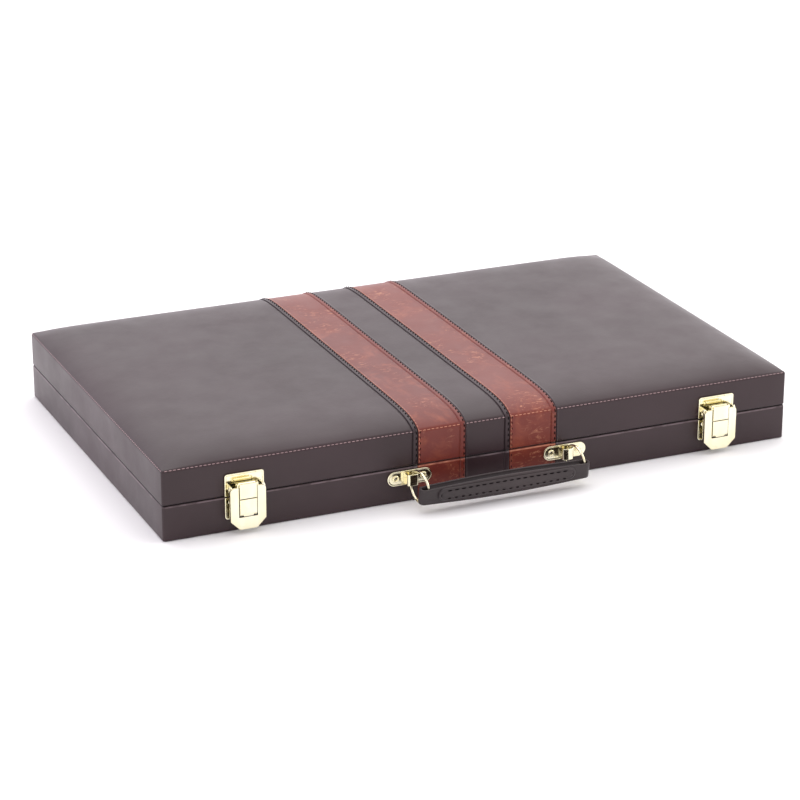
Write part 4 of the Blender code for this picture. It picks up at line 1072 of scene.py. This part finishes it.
def points_of(body):
    """Six triangles at each short end, their tips towards the middle, in rust and cream by turns."""
    axes = INSIDE[body]
    low, high = node_box(f"{body}_playfield")
    size, centre_y = high - low, (low[1] + high[1]) / 2
    top_z = (low[2] if body == "base" else high[2]) + axes[2][2] * (size[2] + 0.02)
    field_front = node_box(f"{body}_divider")[1][1] + 1.0
    pitch = (high[1] - 1.0 - field_front) / 6
    half = pitch / 2 - 0.8
    applied = [(0.1, -0.3), (0, 0.1), (0, 0.25), (0.12, 0.38), (0.3, 0.42)]
    for end, word in SIDES:
        base_x = end * (size[0] / 2 - 1.0)
        for k in range(6):
            v = (field_front + pitch * (k + 0.5) - centre_y) * axes[1][1]
            corners = [(base_x, v + half), (base_x - end * 0.40 * size[0], v), (base_x, v - half)][::-end]
            stamping(f"{body}_point_{word}_{k + 1}", rounded_outline(corners, [0.6] * 3, 4), applied,
                     (0, centre_y, top_z), axes, "rust" if (k + (end > 0)) % 2 else "cream", body)


INSIDE = {"base": ABOVE, "lid": BELOW}
for body in INSIDE:
    bar_in_tray(f"{body}_field_lining", f"{body}_playfield", body, 1.5, 0.3, "felt")
    points_of(body)
    for bar in ("divider", "partition"):
        bar_in_tray(f"{body}_{bar}_wrapped", f"{body}_{bar}", body, 0.9, 0.85, "brown")

# %% [markdown]
# ## The hinges
#
# Two butt hinges carry the lid on the back. A leaf is stamped, and its knuckles are rolled from the
# same sheet round the pin, so they are bent strips: the base's two outside, the lid's one between.


# %% Hinge leaves, rolled knuckles and screws
def cross_outline(size, bar):
    s, b = size / 2, bar / 2
    return np.array([(s, -b), (s, b), (b, b), (b, s), (-b, s), (-b, b), (-s, b), (-s, -b), (-b, -b),
                     (-b, -s), (b, -s), (b, -b)])


def hinge_leaf(node, body, sign, axis_y, axis_z, x, knuckles):
    """A leaf, its knuckles rolled round the axis, and two screws; sign is -1 below the axis."""
    low, high = node_box(node)
    sheet = 1.0
    near, far = axis_z + sign * 2.7, low[2] if sign < 0 else high[2]
    stamping(node + "_stamped", bar_outline(high[0] - low[0], abs(far - near), 1.2, 5),
             sheet_profile(sheet, 0.3), (x, low[1], (near + far) / 2), BACK, "brass", body, node)
    middle_y = low[1] + sheet / 2
    turns = arc_points((axis_y, axis_z), axis_y - middle_y, 180, 180 - 300, 19)
    turns[:, 1] = axis_z - sign * (turns[:, 1] - axis_z)
    path = np.concatenate([[(middle_y, near + sign * 1.0), (middle_y, near)], turns])
    for k, offset in enumerate(knuckles):
        bent_strip(f"{node}_knuckle_{k + 1}", path, 12.2, 0.95, (x + offset, 0, 0), END, "brass", body)
    head = [(0.05, -0.4), (0, 0), (0.1, 0.12), (0.5, 0.3), (1.1, 0.42), (1.7, 0.46)]
    for side, which in SIDES:
        place = (x + side * 11.5, low[1] + sheet - 0.05, (near + far) / 2)
        stamping(f"{node}_screw_{which}", disc(2.6, 24), head, place, BACK, "steel", body, smooth=40)
        # Painted shade: a dark cross laid on the screw's domed head where its recess would be.
        stamping(f"{node}_screw_{which}_painted_shade", cross_outline(2.4, 0.6),
                 [(0.02, 0.2), (0, 0.42), (0.03, 0.475)], place, BACK, "edge_paint_and_shade", body)


for _, word in SIDES:
    x, axis_y, axis_z = middle(f"hinge_{word}_pin")
    hinge_leaf(f"hinge_{word}_base_leaf", "base", -1, axis_y, axis_z, x, (-12.75, 12.75))
    hinge_leaf(f"hinge_{word}_lid_leaf", "lid", 1, axis_y, axis_z, x, (0.0,))

# %% [markdown]
# ## Finishes for the parts that stay as engineered
#
# Rails, boards and pins have the right shape already, so they keep it and only get a finish. The
# floor is a sheet of white paper, wide enough to fill the view, and it isn't part of the object.

# %% Finish what is left of the engineering model
PLAIN_NODES = {"rail": "brown", "panel": "board", "bottom_cover": "brown", "pin": "steel",
               "pivot_left": "steel", "pivot_right": "steel"}
left_over = []
for name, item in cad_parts.items():
    finish = next((kind for ending, kind in PLAIN_NODES.items() if name.endswith(ending)), None)
    if item.hide_render:
        continue
    if finish is None:
        left_over.append(name)
        continue
    for slot in item.material_slots:
        slot.material = MATERIALS[finish]
print("nodes left over:", left_over)

# %% Floor: z = -0.3 mm over a 12 m square, on a grid of 2 x 2 faces
across = np.linspace(-6000, 6000, 3)
floor_x, floor_y = np.meshgrid(across, across, indexing="ij")
floor_points = np.stack([floor_x, floor_y, np.full_like(floor_x, -0.3)], axis=2).reshape(-1, 3)
paper, paper_tree = new_material("white_paper_floor")
dress(paper, "#f6f6f5", [(patches(paper_tree, 400, (0.3, 0.7)), "#f9f9f8")], Roughness=0.8)
floor_mesh = bpy.data.meshes.new("floor")
floor_mesh.from_pydata((floor_points * MM).tolist(), [], quads(3, 3))
floor_mesh.materials.append(paper)
floor = bpy.data.objects.new("floor", floor_mesh)
SCENE.collection.objects.link(floor)
print("floor of", floor.dimensions.x, "m")
